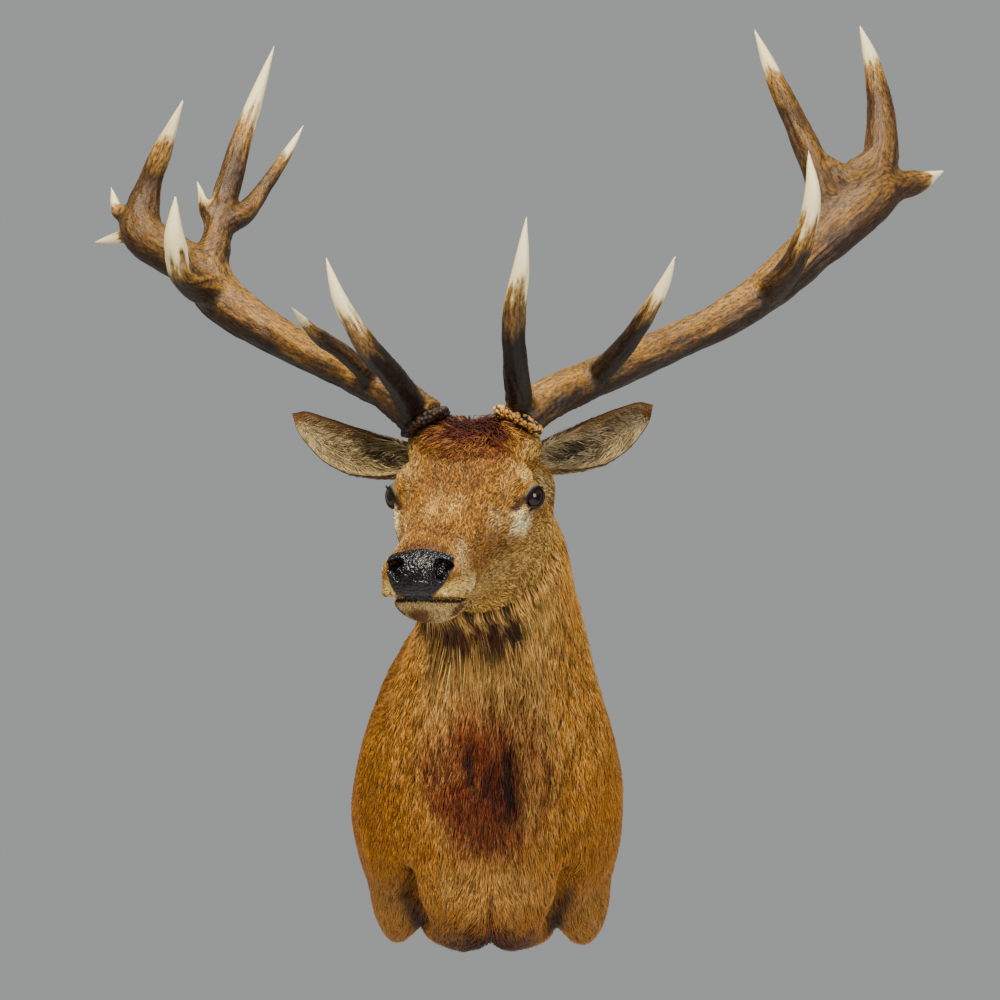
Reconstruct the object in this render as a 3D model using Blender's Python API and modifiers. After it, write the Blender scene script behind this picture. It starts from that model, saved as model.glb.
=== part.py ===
"""Red deer stag shoulder mount on its back board, life size, in metres, +Z up.

The origin is on the back of the board, in the plane of the wall.  The stag looks
along -Y with its head turned a little to its own right, which is -X.

The neck, trunk and head are one loft.  Each of its stations is a flat section that
runs from a point on the crest line to a point on the underline, with its own half
width.  The loft is parted at a few stations, and every part keeps a thin gap to its
neighbours.  Each antler is a set of tapered tubes that fork from each other.
"""

import math
from typing import NamedTuple

import bmesh
import bpy
import numpy as np
from mathutils import Matrix, Vector

# ---------------------------------------------------------------- driving sizes
GAP = 0.0003  # air between neighbouring parts
BOARD_THICK = 0.018
BOARD_INSET = 0.008  # how far the hide stands past the board's edge
SKIN_BACK = -(BOARD_THICK + GAP)  # y of the trunk's flat back

HEAD_PLACE = (-0.029, -0.550, 0.395)  # midway between the eyes
HEAD_PITCH = math.radians(20.0)  # face line below level
HEAD_YAW = math.radians(11.8)  # head turned to the stag's right

EYE_RADIUS = 0.0168
EYE_PLACE = (-0.001, 0.0895, 0.000)  # along the face, sideways, up

BURR_SEAT = (-0.085, 0.066, 0.080)
BURR_RADIUS = 0.0385
BURR_THICK = 0.017
BURR_TILT = (0.46, 0.20, 0.86)  # outwards, backwards, up

AROUND = 32  # faces round the loft
ROWS_PER_STATION = 2
TUBE_STEP = 0.030  # length of one face along an antler


class Station(NamedTuple):
    """One flat section of the loft."""

    crest: tuple  # top of the section, in its own frame
    base: tuple  # underside of the section
    half_width: float
    widest: float  # height of the widest place, 0 at the base and 1 at the crest
    top_square: float  # superellipse power of the upper half, 2 is round
    low_square: float  # the same for the lower half
    sway: float = 0.0  # shift to +X of a trunk or neck section


# Trunk and neck sections: (y, z) of crest and base, from the board up to the throat.
TRUNK_STATIONS = (
    Station((SKIN_BACK, 0.232), (SKIN_BACK, -0.252), 0.203, 0.37, 1.9, 2.5, 0.000),
    Station((-0.075, 0.243), (-0.115, -0.280), 0.208, 0.38, 1.8, 2.2, 0.000),
    Station((-0.130, 0.262), (-0.225, -0.283), 0.204, 0.39, 1.7, 2.0, 0.001),
    Station((-0.180, 0.288), (-0.325, -0.230), 0.196, 0.40, 1.6, 1.9, 0.003),
    Station((-0.225, 0.318), (-0.385, -0.130), 0.174, 0.40, 1.4, 1.9, 0.009),
)
NECK_STATIONS = (
    Station((-0.265, 0.350), (-0.415, -0.015), 0.144, 0.37, 1.6, 2.0, 0.017),
    Station((-0.300, 0.382), (-0.432, 0.090), 0.116, 0.45, 1.8, 2.1, 0.019),
    Station((-0.332, 0.412), (-0.447, 0.170), 0.106, 0.50, 2.0, 2.1, 0.014),
    Station((-0.362, 0.433), (-0.458, 0.210), 0.104, 0.50, 2.0, 2.1, 0.002),
)
# Head sections: (along the face, up) of crest and base, from the nape to the nose.
HEAD_STATIONS = (
    Station((-0.165, -0.002), (-0.022, -0.182), 0.104, 0.50, 2.0, 2.1),
    Station((-0.150, 0.036), (-0.008, -0.172), 0.104, 0.54, 2.0, 2.0),
    Station((-0.112, 0.076), (0.008, -0.160), 0.096, 0.60, 2.1, 1.9),
    Station((-0.064, 0.077), (0.026, -0.147), 0.094, 0.62, 2.2, 1.9),
    Station((-0.014, 0.058), (0.045, -0.133), 0.095, 0.66, 2.2, 1.85),
    Station((0.035, 0.045), (0.070, -0.122), 0.082, 0.64, 2.2, 1.9),
    Station((0.080, 0.038), (0.100, -0.110), 0.066, 0.59, 2.2, 2.0),
    Station((0.125, 0.031), (0.132, -0.099), 0.056, 0.54, 2.2, 2.1),
    Station((0.170, 0.026), (0.166, -0.091), 0.054, 0.50, 2.3, 2.2),
    Station((0.210, 0.024), (0.197, -0.089), 0.056, 0.49, 2.3, 2.3),
    Station((0.240, 0.0205), (0.224, -0.089), 0.056, 0.50, 2.4, 2.3),
    Station((0.259, 0.013), (0.246, -0.080), 0.050, 0.54, 2.5, 2.2),
    Station((0.270, 0.002), (0.260, -0.058), 0.038, 0.54, 2.3, 2.2),
    Station((0.275, -0.010), (0.270, -0.034), 0.019, 0.50, 2.0, 2.0),
)
NECK_START = len(TRUNK_STATIONS) - 1
HEAD_START = NECK_START + len(NECK_STATIONS) + 1
MUZZLE_START = HEAD_START + 8
NOSE_END = HEAD_START + len(HEAD_STATIONS) - 1


class Swell(NamedTuple):
    """A smooth rise or hollow of the head, on both sides."""

    place: tuple  # along the face, sideways, up
    reach: float
    rise: float


SWELLS = (
    Swell((-0.004, 0.084, 0.024), 0.026, 0.0080),  # brow over the eye
    Swell((0.030, 0.074, -0.026), 0.030, 0.0040),  # cheek bone
    Swell((-0.048, 0.088, 0.012), 0.030, -0.0060),  # temple
    Swell((0.040, 0.062, 0.004), 0.018, -0.0040),  # tear pit
    Swell((0.115, 0.050, -0.034), 0.036, -0.0045),  # hollow of the cheek
    Swell((-0.006, 0.066, -0.086), 0.045, 0.0060),  # jaw muscle
    Swell((-0.082, 0.062, 0.052), 0.034, 0.0240),  # pedicle
    Swell((-0.128, 0.092, -0.024), 0.030, 0.0120),  # butt of the ear
    Swell((0.250, 0.036, 0.002), 0.016, 0.0050),  # wing of the nostril
    Swell((0.225, 0.044, -0.030), 0.024, 0.0030),  # upper lip
)

MOUTH_FRONT = (0.268, -0.041)  # along the face, up
MOUTH_CORNER = (0.178, -0.052)
JAW_NARROWER = 0.92
JAW_SHORTER = 0.006

LEG_SIZE = (0.047, 0.110, 0.098)  # half width, half depth, half height
LEG_PLACE = {"right": (0.138, -0.140, -0.182), "left": (0.142, -0.140, -0.187)}

EAR_ROOT = (-0.112, 0.070, 0.010)
EAR_LENGTH = {"right": 0.218, "left": 0.198}
EAR_WIDTH = 0.101  # of the ear laid flat
EAR_THICK = 0.0055
EAR_SAG = {"right": 0.021, "left": 0.014}  # droop below the line to the tip
EAR_RISE = {"right": math.radians(18.5), "left": math.radians(24.0)}
EAR_BACK = math.radians(16.0)


class Tine(NamedTuple):
    """A tapered tube through points (outwards, forwards, up) from the burr."""

    points: tuple
    radii: tuple
    sides: int = 8


RIGHT_ANTLER = {
    "lower_beam": Tine(
        (
            (0.000, 0.000, 0.000),
            (0.053, -0.031, 0.042),
            (0.110, -0.071, 0.069),
            (0.202, -0.131, 0.117),
            (0.290, -0.181, 0.173),
            (0.325, -0.201, 0.221),
        ),
        (0.0300, 0.0275, 0.0255, 0.0270, 0.0340, 0.0350),
        12,
    ),
    "brow_tine": Tine(
        (
            (0.012, 0.004, 0.012),
            (0.040, 0.074, 0.054),
            (0.074, 0.134, 0.095),
            (0.103, 0.169, 0.147),
            (0.121, 0.179, 0.202),
        ),
        (0.0190, 0.0165, 0.0145, 0.0100, 0.0012),
    ),
    "bez_tine": Tine(
        (
            (0.062, -0.036, 0.046),
            (0.104, 0.014, 0.085),
            (0.145, 0.064, 0.114),
            (0.172, 0.114, 0.144),
        ),
        (0.0150, 0.0120, 0.0090, 0.0010),
    ),
    "tray_tine": Tine(
        (
            (0.300, -0.186, 0.184),
            (0.341, -0.121, 0.206),
            (0.350, -0.071, 0.252),
            (0.346, -0.051, 0.312),
        ),
        (0.0270, 0.0205, 0.0150, 0.0012),
    ),
    "inner_crown": Tine(
        (
            (0.318, -0.198, 0.215),
            (0.309, -0.216, 0.276),
            (0.300, -0.226, 0.328),
            (0.281, -0.236, 0.403),
            (0.254, -0.241, 0.484),
            (0.228, -0.236, 0.556),
        ),
        (0.0270, 0.0220, 0.0190, 0.0165, 0.0105, 0.0012),
    ),
    "outer_crown": Tine(
        (
            (0.325, -0.201, 0.221),
            (0.385, -0.236, 0.254),
            (0.426, -0.261, 0.288),
            (0.420, -0.266, 0.344),
            (0.394, -0.251, 0.405),
            (0.359, -0.226, 0.477),
        ),
        (0.0320, 0.0310, 0.0320, 0.0205, 0.0140, 0.0012),
    ),
    "inner_point": Tine(
        (
            (0.293, -0.221, 0.298),
            (0.268, -0.251, 0.318),
            (0.248, -0.281, 0.354),
            (0.218, -0.306, 0.406),
            (0.192, -0.321, 0.455),
        ),
        (0.0200, 0.0150, 0.0110, 0.0080, 0.0010),
    ),
    "inner_spur": Tine(
        (
            (0.305, -0.221, 0.278),
            (0.324, -0.216, 0.312),
            (0.338, -0.211, 0.354),
        ),
        (0.0210, 0.0110, 0.0010),
        8,
    ),
    "upper_spur": Tine(
        (
            (0.430, -0.261, 0.296),
            (0.462, -0.271, 0.318),
            (0.474, -0.276, 0.354),
        ),
        (0.0200, 0.0110, 0.0010),
        8,
    ),
    "side_spur": Tine(
        (
            (0.418, -0.261, 0.285),
            (0.466, -0.281, 0.279),
            (0.504, -0.296, 0.274),
        ),
        (0.0180, 0.0095, 0.0010),
        8,
    ),
}
LEFT_ANTLER = {
    "lower_beam": Tine(
        (
            (0.000, 0.000, 0.000),
            (0.041, -0.025, 0.029),
            (0.103, -0.070, 0.059),
            (0.186, -0.125, 0.098),
            (0.275, -0.170, 0.140),
            (0.357, -0.205, 0.193),
            (0.419, -0.225, 0.250),
        ),
        (0.0300, 0.0275, 0.0260, 0.0255, 0.0265, 0.0305, 0.0350),
        12,
    ),
    "brow_tine": Tine(
        (
            (-0.001, 0.004, 0.011),
            (-0.007, 0.090, 0.061),
            (-0.010, 0.145, 0.121),
            (-0.001, 0.180, 0.182),
            (0.006, 0.190, 0.248),
        ),
        (0.0180, 0.0155, 0.0155, 0.0110, 0.0012),
    ),
    "bez_tine": Tine(
        (
            (0.090, -0.065, 0.050),
            (0.131, -0.010, 0.087),
            (0.163, 0.040, 0.130),
            (0.188, 0.070, 0.174),
            (0.202, 0.090, 0.211),
        ),
        (0.0170, 0.0145, 0.0120, 0.0080, 0.0010),
    ),
    "tray_tine": Tine(
        (
            (0.345, -0.197, 0.178),
            (0.379, -0.145, 0.213),
            (0.397, -0.105, 0.260),
            (0.404, -0.080, 0.312),
            (0.397, -0.070, 0.372),
        ),
        (0.0230, 0.0180, 0.0140, 0.0115, 0.0012),
    ),
    "palm": Tine(
        (
            (0.419, -0.225, 0.250),
            (0.471, -0.240, 0.296),
            (0.512, -0.253, 0.330),
            (0.548, -0.268, 0.352),
        ),
        (0.0350, 0.0390, 0.0370, 0.0210),
        12,
    ),
    "inner_crown": Tine(
        (
            (0.452, -0.238, 0.300),
            (0.432, -0.245, 0.374),
            (0.408, -0.255, 0.431),
            (0.375, -0.260, 0.505),
            (0.343, -0.255, 0.579),
        ),
        (0.0280, 0.0210, 0.0180, 0.0140, 0.0012),
    ),
    "outer_crown": Tine(
        (
            (0.507, -0.250, 0.328),
            (0.530, -0.268, 0.390),
            (0.533, -0.285, 0.466),
            (0.522, -0.290, 0.533),
            (0.502, -0.285, 0.591),
        ),
        (0.0320, 0.0260, 0.0200, 0.0135, 0.0012),
    ),
    "crown_web": Tine(
        (
            (0.437, -0.245, 0.386),
            (0.478, -0.250, 0.352),
            (0.524, -0.262, 0.398),
        ),
        (0.0130, 0.0300, 0.0130),
    ),
    "side_spur": Tine(
        (
            (0.532, -0.260, 0.346),
            (0.587, -0.280, 0.359),
            (0.629, -0.295, 0.377),
        ),
        (0.0220, 0.0120, 0.0010),
        8,
    ),
}

# ---------------------------------------------------------------- scene and finishes


def clear_scene():
    for obj in list(bpy.data.objects):
        bpy.data.objects.remove(obj)


def finish(name, colour, roughness):
    """A Principled material of one colour, given as linear RGB."""
    material = bpy.data.materials.new(name)
    material.use_nodes = True
    shader = material.node_tree.nodes["Principled BSDF"]
    shader.inputs["Base Color"].default_value = (*colour, 1.0)
    shader.inputs["Roughness"].default_value = roughness
    shader.inputs["Metallic"].default_value = 0.0
    return material


def new_collection(name, hidden=False):
    made = bpy.data.collections.new(name)
    made.hide_render = hidden
    bpy.context.scene.collection.children.link(made)
    return made


def object_from(name, points, faces, collection):
    """A mesh object with its doubled points merged and its faces turned outwards."""
    mesh = bpy.data.meshes.new(name)
    mesh.from_pydata([tuple(map(float, p)) for p in points], [], faces)
    work = bmesh.new()
    work.from_mesh(mesh)
    bmesh.ops.remove_doubles(work, verts=work.verts, dist=1e-6)
    bmesh.ops.recalc_face_normals(work, faces=work.faces)
    work.to_mesh(mesh)
    work.free()
    mesh.shade_smooth()
    mesh.set_sharp_from_angle(angle=math.radians(50.0))
    obj = bpy.data.objects.new(name, mesh)
    collection.objects.link(obj)
    return obj


def evaluated_mesh(obj):
    bpy.context.view_layer.update()
    graph = bpy.context.evaluated_depsgraph_get()
    return bpy.data.meshes.new_from_object(obj.evaluated_get(graph))


def settle(obj):
    """Applies the object's modifiers, and keeps its largest body."""
    mesh = evaluated_mesh(obj)
    obj.modifiers.clear()
    obj.data = mesh
    keep_largest(mesh)


def keep_largest(mesh):
    """Removes every loose body but the one with the most volume."""
    work = bmesh.new()
    work.from_mesh(mesh)
    unseen = set(work.verts)
    bodies = []
    while unseen:
        body = {unseen.pop()}
        edge_of_body = list(body)
        while edge_of_body:
            vert = edge_of_body.pop()
            for edge in vert.link_edges:
                other = edge.other_vert(vert)
                if other in unseen:
                    unseen.remove(other)
                    body.add(other)
                    edge_of_body.append(other)
        bodies.append(body)

    def box_volume(body):
        places = np.array([v.co for v in body])
        return float(np.prod(np.ptp(places, axis=0) + 1e-9))

    bodies.sort(key=box_volume)
    for body in bodies[:-1]:
        bmesh.ops.delete(work, geom=list(body), context="VERTS")
    work.to_mesh(mesh)
    work.free()


def grown_copy(obj, collection):
    """A copy a little larger all round, to cut the gap beside the object."""
    mesh = obj.data.copy()
    normals = [vert.normal.copy() for vert in mesh.vertices]
    for vert, normal in zip(mesh.vertices, normals):
        vert.co += normal * GAP * 1.5
    copy = bpy.data.objects.new(obj.name + "_cutter", mesh)
    copy.matrix_world = obj.matrix_world
    collection.objects.link(copy)
    return copy


def cut(obj, cutter):
    """Takes the cutter's volume out of the object."""
    modifier = obj.modifiers.new("cut", "BOOLEAN")
    modifier.operation = "DIFFERENCE"
    modifier.solver = "EXACT"
    modifier.object = cutter
    settle(obj)


# ---------------------------------------------------------------- head frame


def head_axes():
    """Unit vectors along the face, to the stag's left, and up out of the forehead."""
    sin_p, cos_p = math.sin(HEAD_PITCH), math.cos(HEAD_PITCH)
    sin_y, cos_y = math.sin(HEAD_YAW), math.cos(HEAD_YAW)
    along = np.array((-sin_y * cos_p, -cos_y * cos_p, -sin_p))
    left = np.array((cos_y, -sin_y, 0.0))
    up = np.array((-sin_y * sin_p, -cos_y * sin_p, cos_p))
    return along, left, up


def head_to_world(place):
    """World place of head coordinates (along, left, up), for one or many points."""
    return np.array(HEAD_PLACE) + np.asarray(place) @ np.array(head_axes())


def world_to_head(points):
    return (points - np.array(HEAD_PLACE)) @ np.array(head_axes()).T


# ---------------------------------------------------------------- the loft


def smooth(values, at):
    """Catmull-Rom curve through rows of values, read at fractional row numbers."""
    values = np.asarray(values, float)
    padded = np.vstack((2 * values[0] - values[1], values, 2 * values[-1] - values[-2]))
    index = np.clip(np.floor(at).astype(int), 0, len(values) - 2)
    t = (at - index)[:, None]
    a, b, c, d = (padded[index + k] for k in range(4))
    return 0.5 * (
        2 * b
        + (c - a) * t
        + (2 * a - 5 * b + 4 * c - d) * t**2
        + (3 * b - a - 3 * c + d) * t**3
    )


def station_rows():
    """One row for each station: crest, base, sideways vector, and the shape values."""
    rows = []
    for s in TRUNK_STATIONS + NECK_STATIONS:
        crest = (s.sway, *s.crest)
        base = (s.sway, *s.base)
        rows.append((*crest, *base, 1.0, 0.0, 0.0, *s[2:6]))
    for s in HEAD_STATIONS:
        crest = head_to_world((s.crest[0], 0.0, s.crest[1]))
        base = head_to_world((s.base[0], 0.0, s.base[1]))
        rows.append((*crest, *base, *head_axes()[1], *s[2:6]))
    return np.array(rows)


def bump(distance):
    """1 at the middle and 0 at the edge of a swell."""
    t = np.clip(1.0 - distance**2, 0.0, 1.0)
    return t * t


def shape_head(points, outward):
    """Adds the swells of the head, and sets the lower jaw back from the lip."""
    local = world_to_head(points)
    for swell in SWELLS:
        for side in (1.0, -1.0):
            place = np.array(swell.place) * (1.0, side, 1.0)
            far = np.linalg.norm(local - place, axis=-1) / (1.6 * swell.reach)
            points = points + outward * (swell.rise * bump(far))[..., None]
    local = world_to_head(points)
    along, side, up = np.moveaxis(local, -1, 0)
    slope = (MOUTH_FRONT[1] - MOUTH_CORNER[1]) / (MOUTH_FRONT[0] - MOUTH_CORNER[0])
    lip = MOUTH_CORNER[1] + slope * (along - MOUTH_CORNER[0])
    below = np.clip((lip - up) / 0.006 + 0.5, 0.0, 1.0)
    ahead = np.clip((along - MOUTH_CORNER[0]) / 0.03 + 0.5, 0.0, 1.0)
    jaw = below * ahead
    side = side * (1.0 - (1.0 - JAW_NARROWER) * jaw)
    along = along - JAW_SHORTER * jaw
    return head_to_world(np.stack((along, side, up), axis=-1))


def loft_points(at, around):
    """Points of the loft for station numbers `at` and `around` angles from the crest.

    A section is a superellipse: sideways it goes with the sine of the angle, and up
    and down with the cosine, each raised to 2 over the section's power.
    """
    rows = smooth(station_rows(), at)
    crest, base, sideways = rows[:, 0:3], rows[:, 3:6], rows[:, 6:9]
    sideways = sideways / np.linalg.norm(sideways, axis=1, keepdims=True)
    half_width, widest, top_power, low_power = rows[:, 9:13].T
    height = np.linalg.norm(crest - base, axis=1)
    up = (crest - base) / height[:, None]
    centre = base + up * (widest * height)[:, None]
    angle = np.arange(around) * 2 * math.pi / around
    sine, cosine = np.sin(angle)[None, :], np.cos(angle)[None, :]
    upper = cosine >= 0
    power = np.where(upper, top_power[:, None], low_power[:, None])
    reach = np.where(upper, (1 - widest)[:, None], widest[:, None]) * height[:, None]
    across = half_width[:, None] * np.sign(sine) * np.abs(sine) ** (2 / power)
    rise = reach * np.sign(cosine) * np.abs(cosine) ** (2 / power)
    spread = across[..., None] * sideways[:, None, :] + rise[..., None] * up[:, None, :]
    outward = spread / np.maximum(np.linalg.norm(spread, axis=-1, keepdims=True), 1e-9)
    return shape_head(centre[:, None, :] + spread, outward)


def loft_solid(name, first, last, collection, trim=0.0):
    """The stretch of the loft between two stations, closed by flat ends.

    `trim` moves the first end towards the nose, to leave the gap to the part before.
    """
    count = max(2, int(round((last - first) * ROWS_PER_STATION)) + 1)
    rings = loft_points(np.linspace(first, last, count), AROUND)
    if trim:
        forward = rings[1].mean(axis=0) - rings[0].mean(axis=0)
        rings[0] += trim * forward / np.linalg.norm(forward)
    points = rings.reshape(-1, 3)
    faces = []
    for row in range(count - 1):
        for column in range(AROUND):
            a = row * AROUND + column
            b = row * AROUND + (column + 1) % AROUND
            faces.append((a, b, b + AROUND))
            faces.append((a, b + AROUND, a + AROUND))
    ends = np.vstack((rings[0].mean(axis=0), rings[-1].mean(axis=0)))
    first_middle, last_middle = len(points), len(points) + 1
    top = (count - 1) * AROUND
    for column in range(AROUND):
        after = (column + 1) % AROUND
        faces.append((first_middle, after, column))
        faces.append((last_middle, top + column, top + after))
    return object_from(name, np.vstack((points, ends)), faces, collection)


# ---------------------------------------------------------------- the parts


def make_board(collection, material):
    """The board's outline is the trunk's back section, drawn in by the inset."""
    ring = loft_points(np.array((0.0,)), 48)[0][:, [0, 2]]
    middle = ring.mean(axis=0)
    arm = ring - middle
    length = np.linalg.norm(arm, axis=1, keepdims=True)
    outline = middle + arm * (length - BOARD_INSET) / length
    curve = bpy.data.curves.new("back_board", "CURVE")
    curve.dimensions = "2D"
    curve.fill_mode = "BOTH"
    curve.extrude = BOARD_THICK / 2
    spline = curve.splines.new("POLY")
    spline.points.add(len(outline) - 1)
    spline.use_cyclic_u = True
    for point, (x, z) in zip(spline.points, outline):
        point.co = (x, z, 0.0, 1.0)
    board = bpy.data.objects.new("back_board", curve)
    board.rotation_euler = (math.pi / 2, 0.0, 0.0)
    board.location = (0.0, -BOARD_THICK / 2, 0.0)
    collection.objects.link(board)
    curve.materials.append(material)
    return board


def make_body(parts, cutters, hide):
    """Trunk, neck, head, muzzle and chin, and a slightly larger copy for cutting."""
    spans = (
        ("trunk", 0, NECK_START, 0.0),
        ("neck", NECK_START, HEAD_START, GAP),
        ("head", HEAD_START, MUZZLE_START, GAP),
        ("muzzle", MUZZLE_START, NOSE_END, GAP),
    )
    made = {name: loft_solid(name, a, b, parts, trim=t) for name, a, b, t in spans}
    part_chin(made["muzzle"], parts)
    for obj in parts.objects:
        if obj.type == "MESH":
            obj.data.materials.append(hide)
    return made, grown_copy(loft_solid("body", 0, NOSE_END, cutters), cutters)


def part_chin(muzzle, parts):
    """Parts the muzzle along the mouth, and names the lower piece chin."""
    front = head_to_world((MOUTH_FRONT[0], 0.0, MOUTH_FRONT[1]))
    corner = head_to_world((MOUTH_CORNER[0], 0.0, MOUTH_CORNER[1]))
    line = (front - corner) / np.linalg.norm(front - corner)
    normal = np.cross(line, head_axes()[1])
    normal *= np.sign(normal[2])
    chin = bpy.data.objects.new("chin", muzzle.data.copy())
    parts.objects.link(chin)
    for obj, side in ((muzzle, 1.0), (chin, -1.0)):
        work = bmesh.new()
        work.from_mesh(obj.data)
        found = bmesh.ops.bisect_plane(
            work,
            geom=work.verts[:] + work.edges[:] + work.faces[:],
            plane_co=corner + normal * side * GAP / 2,
            plane_no=normal * side,
            clear_inner=True,
        )
        rim = [e for e in found["geom_cut"] if isinstance(e, bmesh.types.BMEdge)]
        bmesh.ops.contextual_create(work, geom=rim)
        bmesh.ops.triangulate(work, faces=[f for f in work.faces if len(f.verts) > 4])
        bmesh.ops.recalc_face_normals(work, faces=work.faces)
        work.to_mesh(obj.data)
        work.free()


def make_eye(side, sign, parts, cutters, glass):
    """A glass eye, and the larger ball that makes its socket."""
    place = head_to_world(np.array(EYE_PLACE) * (1.0, sign, 1.0))
    for name, radius, home in (
        (f"eye_{side}", EYE_RADIUS, parts),
        (f"socket_{side}", EYE_RADIUS + GAP, cutters),
    ):
        mesh = bpy.data.meshes.new(name)
        work = bmesh.new()
        bmesh.ops.create_uvsphere(work, u_segments=14, v_segments=8, radius=radius)
        work.to_mesh(mesh)
        work.free()
        mesh.shade_smooth()
        mesh.materials.append(glass)
        ball = bpy.data.objects.new(name, mesh)
        ball.location = place
        home.objects.link(ball)
    return bpy.data.objects[f"socket_{side}"]


def make_ear(side, sign, parts, body_cutter, hide):
    """A cupped leaf: each row is an arc that closes to a tube near the root."""
    rows, columns = 10, 8
    along_ear = np.linspace(0.0, 1.0, rows)
    width = EAR_WIDTH * np.interp(
        along_ear,
        (0.0, 0.12, 0.3, 0.5, 0.7, 0.85, 0.95, 1.0),
        (0.92, 0.99, 1.04, 0.98, 0.76, 0.50, 0.28, 0.12),
    )
    open_angle = np.radians(
        np.interp(along_ear, (0.0, 0.25, 0.55, 1.0), (135.0, 108.0, 82.0, 50.0))
    )
    rise = EAR_RISE[side]
    tip_way = np.array(
        (
            sign * math.cos(rise) * math.cos(EAR_BACK),
            math.sin(EAR_BACK),
            math.sin(rise),
        )
    )
    front_way = np.array((sign * 0.30, -1.0, 0.18))
    front_way -= tip_way * (front_way @ tip_way)
    front_way /= np.linalg.norm(front_way)
    edge_way = np.cross(tip_way, front_way) * sign
    root = head_to_world(np.array(EAR_ROOT) * (1.0, sign, 1.0))
    sweep = np.linspace(-1.0, 1.0, columns)[None, :] * open_angle[:, None]
    radius = (width / 2 / open_angle)[:, None]
    middle = root + along_ear[:, None] * EAR_LENGTH[side] * tip_way
    middle += (EAR_SAG[side] * np.sin(math.pi * along_ear**1.1))[:, None] * edge_way
    across = radius * np.sin(sweep)
    depth = radius * (np.cos(open_angle)[:, None] - np.cos(sweep))
    points = (
        middle[:, None, :]
        + across[..., None] * edge_way
        + depth[..., None] * front_way
    )
    faces = [
        (
            r * columns + c,
            r * columns + c + 1,
            (r + 1) * columns + c + 1,
            (r + 1) * columns + c,
        )
        for r in range(rows - 1)
        for c in range(columns - 1)
    ]
    ear = object_from(f"ear_{side}", points.reshape(-1, 3), faces, parts)
    wall = ear.modifiers.new("wall", "SOLIDIFY")
    wall.thickness = EAR_THICK
    wall.offset = 0.0
    wall.use_even_offset = True
    ear.data.materials.append(hide)
    cut(ear, body_cutter)
    return ear


def make_leg(side, sign, parts, body_cutter, hide):
    """The stump of a foreleg: an egg below the shoulder, cut clear of the trunk."""
    mesh = bpy.data.meshes.new(f"foreleg_{side}")
    work = bmesh.new()
    bmesh.ops.create_uvsphere(work, u_segments=18, v_segments=12, radius=1.0)
    bmesh.ops.scale(work, vec=Vector(LEG_SIZE), verts=work.verts)
    work.to_mesh(mesh)
    work.free()
    mesh.shade_smooth()
    mesh.materials.append(hide)
    leg = bpy.data.objects.new(f"foreleg_{side}", mesh)
    leg.location = Vector(LEG_PLACE[side])
    leg.location.x *= sign
    parts.objects.link(leg)
    cut(leg, body_cutter)
    return leg


def tube(name, tine, seat, sign, collection):
    """A tine as a mesh: a curve through its points, with a radius at each."""
    points = np.array([(sign * x, -y, z) for x, y, z in tine.points]) + seat
    length = np.linalg.norm(np.diff(points, axis=0), axis=1).sum()
    count = max(5, int(length / TUBE_STEP) + 1)
    at = np.linspace(0, len(points) - 1, count)
    path = smooth(points, at)
    radii = smooth(np.array(tine.radii)[:, None], at)[:, 0]
    curve = bpy.data.curves.new(name, "CURVE")
    curve.dimensions = "3D"
    curve.bevel_depth = 1.0
    curve.bevel_resolution = tine.sides // 2 - 2
    curve.use_fill_caps = True
    spline = curve.splines.new("POLY")
    spline.points.add(count - 1)
    for point, place, radius in zip(spline.points, path, radii):
        point.co = (*place, 1.0)
        point.radius = radius
    guide = bpy.data.objects.new(name + "_line", curve)
    collection.objects.link(guide)
    mesh = evaluated_mesh(guide)
    bpy.data.objects.remove(guide)
    work = bmesh.new()
    work.from_mesh(mesh)
    bmesh.ops.remove_doubles(work, verts=work.verts, dist=1e-5)
    bmesh.ops.recalc_face_normals(work, faces=work.faces)
    work.to_mesh(mesh)
    work.free()
    mesh.name = name
    mesh.shade_smooth()
    made = bpy.data.objects.new(name, mesh)
    collection.objects.link(made)
    return made


def burr(name, seat, sign, collection):
    """The coronet: a round collar with a full edge, standing on its pedicle."""
    mesh = bpy.data.meshes.new(name)
    work = bmesh.new()
    bmesh.ops.create_uvsphere(work, u_segments=18, v_segments=6, radius=1.0)
    flat = Vector((BURR_RADIUS, BURR_RADIUS, BURR_THICK / 2))
    for vert in work.verts:
        vert.co.z = math.copysign(abs(vert.co.z) ** 0.6, vert.co.z)
    bmesh.ops.scale(work, vec=flat, verts=work.verts)
    work.to_mesh(mesh)
    work.free()
    mesh.shade_smooth()
    made = bpy.data.objects.new(name, mesh)
    axis = Vector((sign * BURR_TILT[0], BURR_TILT[1], BURR_TILT[2]))
    turn = axis.to_track_quat("Z", "Y").to_matrix().to_4x4()
    made.matrix_world = Matrix.Translation(seat) @ turn
    collection.objects.link(made)
    return made


def make_antler(side, sign, tines, parts, cutters, body_cutter, bone):
    """Burr, beam and tines, each cut clear of all that it grows from."""
    seat = Vector(head_to_world(np.array(BURR_SEAT) * (1.0, sign, 1.0)))
    collar = burr(f"antler_{side}_burr", seat, sign, parts)
    collar.data.materials.append(bone)
    clear_of = [body_cutter, grown_copy(collar, cutters)]
    cut(collar, body_cutter)
    for part, tine in tines.items():
        name = f"antler_{side}_{part}"
        piece = tube(name, tine, seat, sign, parts)
        piece.data.materials.append(bone)
        whole = grown_copy(piece, cutters)
        for cutter in clear_of:
            if boxes_meet(piece, cutter):
                cut(piece, cutter)
        clear_of.append(whole)


def clear_ear(side, parts, cutters):
    """Cuts the ear clear of each piece of its own antler that it could touch."""
    ear = bpy.data.objects[f"ear_{side}"]
    for piece in list(parts.objects):
        if piece.name.startswith(f"antler_{side}") and boxes_meet(ear, piece):
            cut(ear, grown_copy(piece, cutters))


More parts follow.
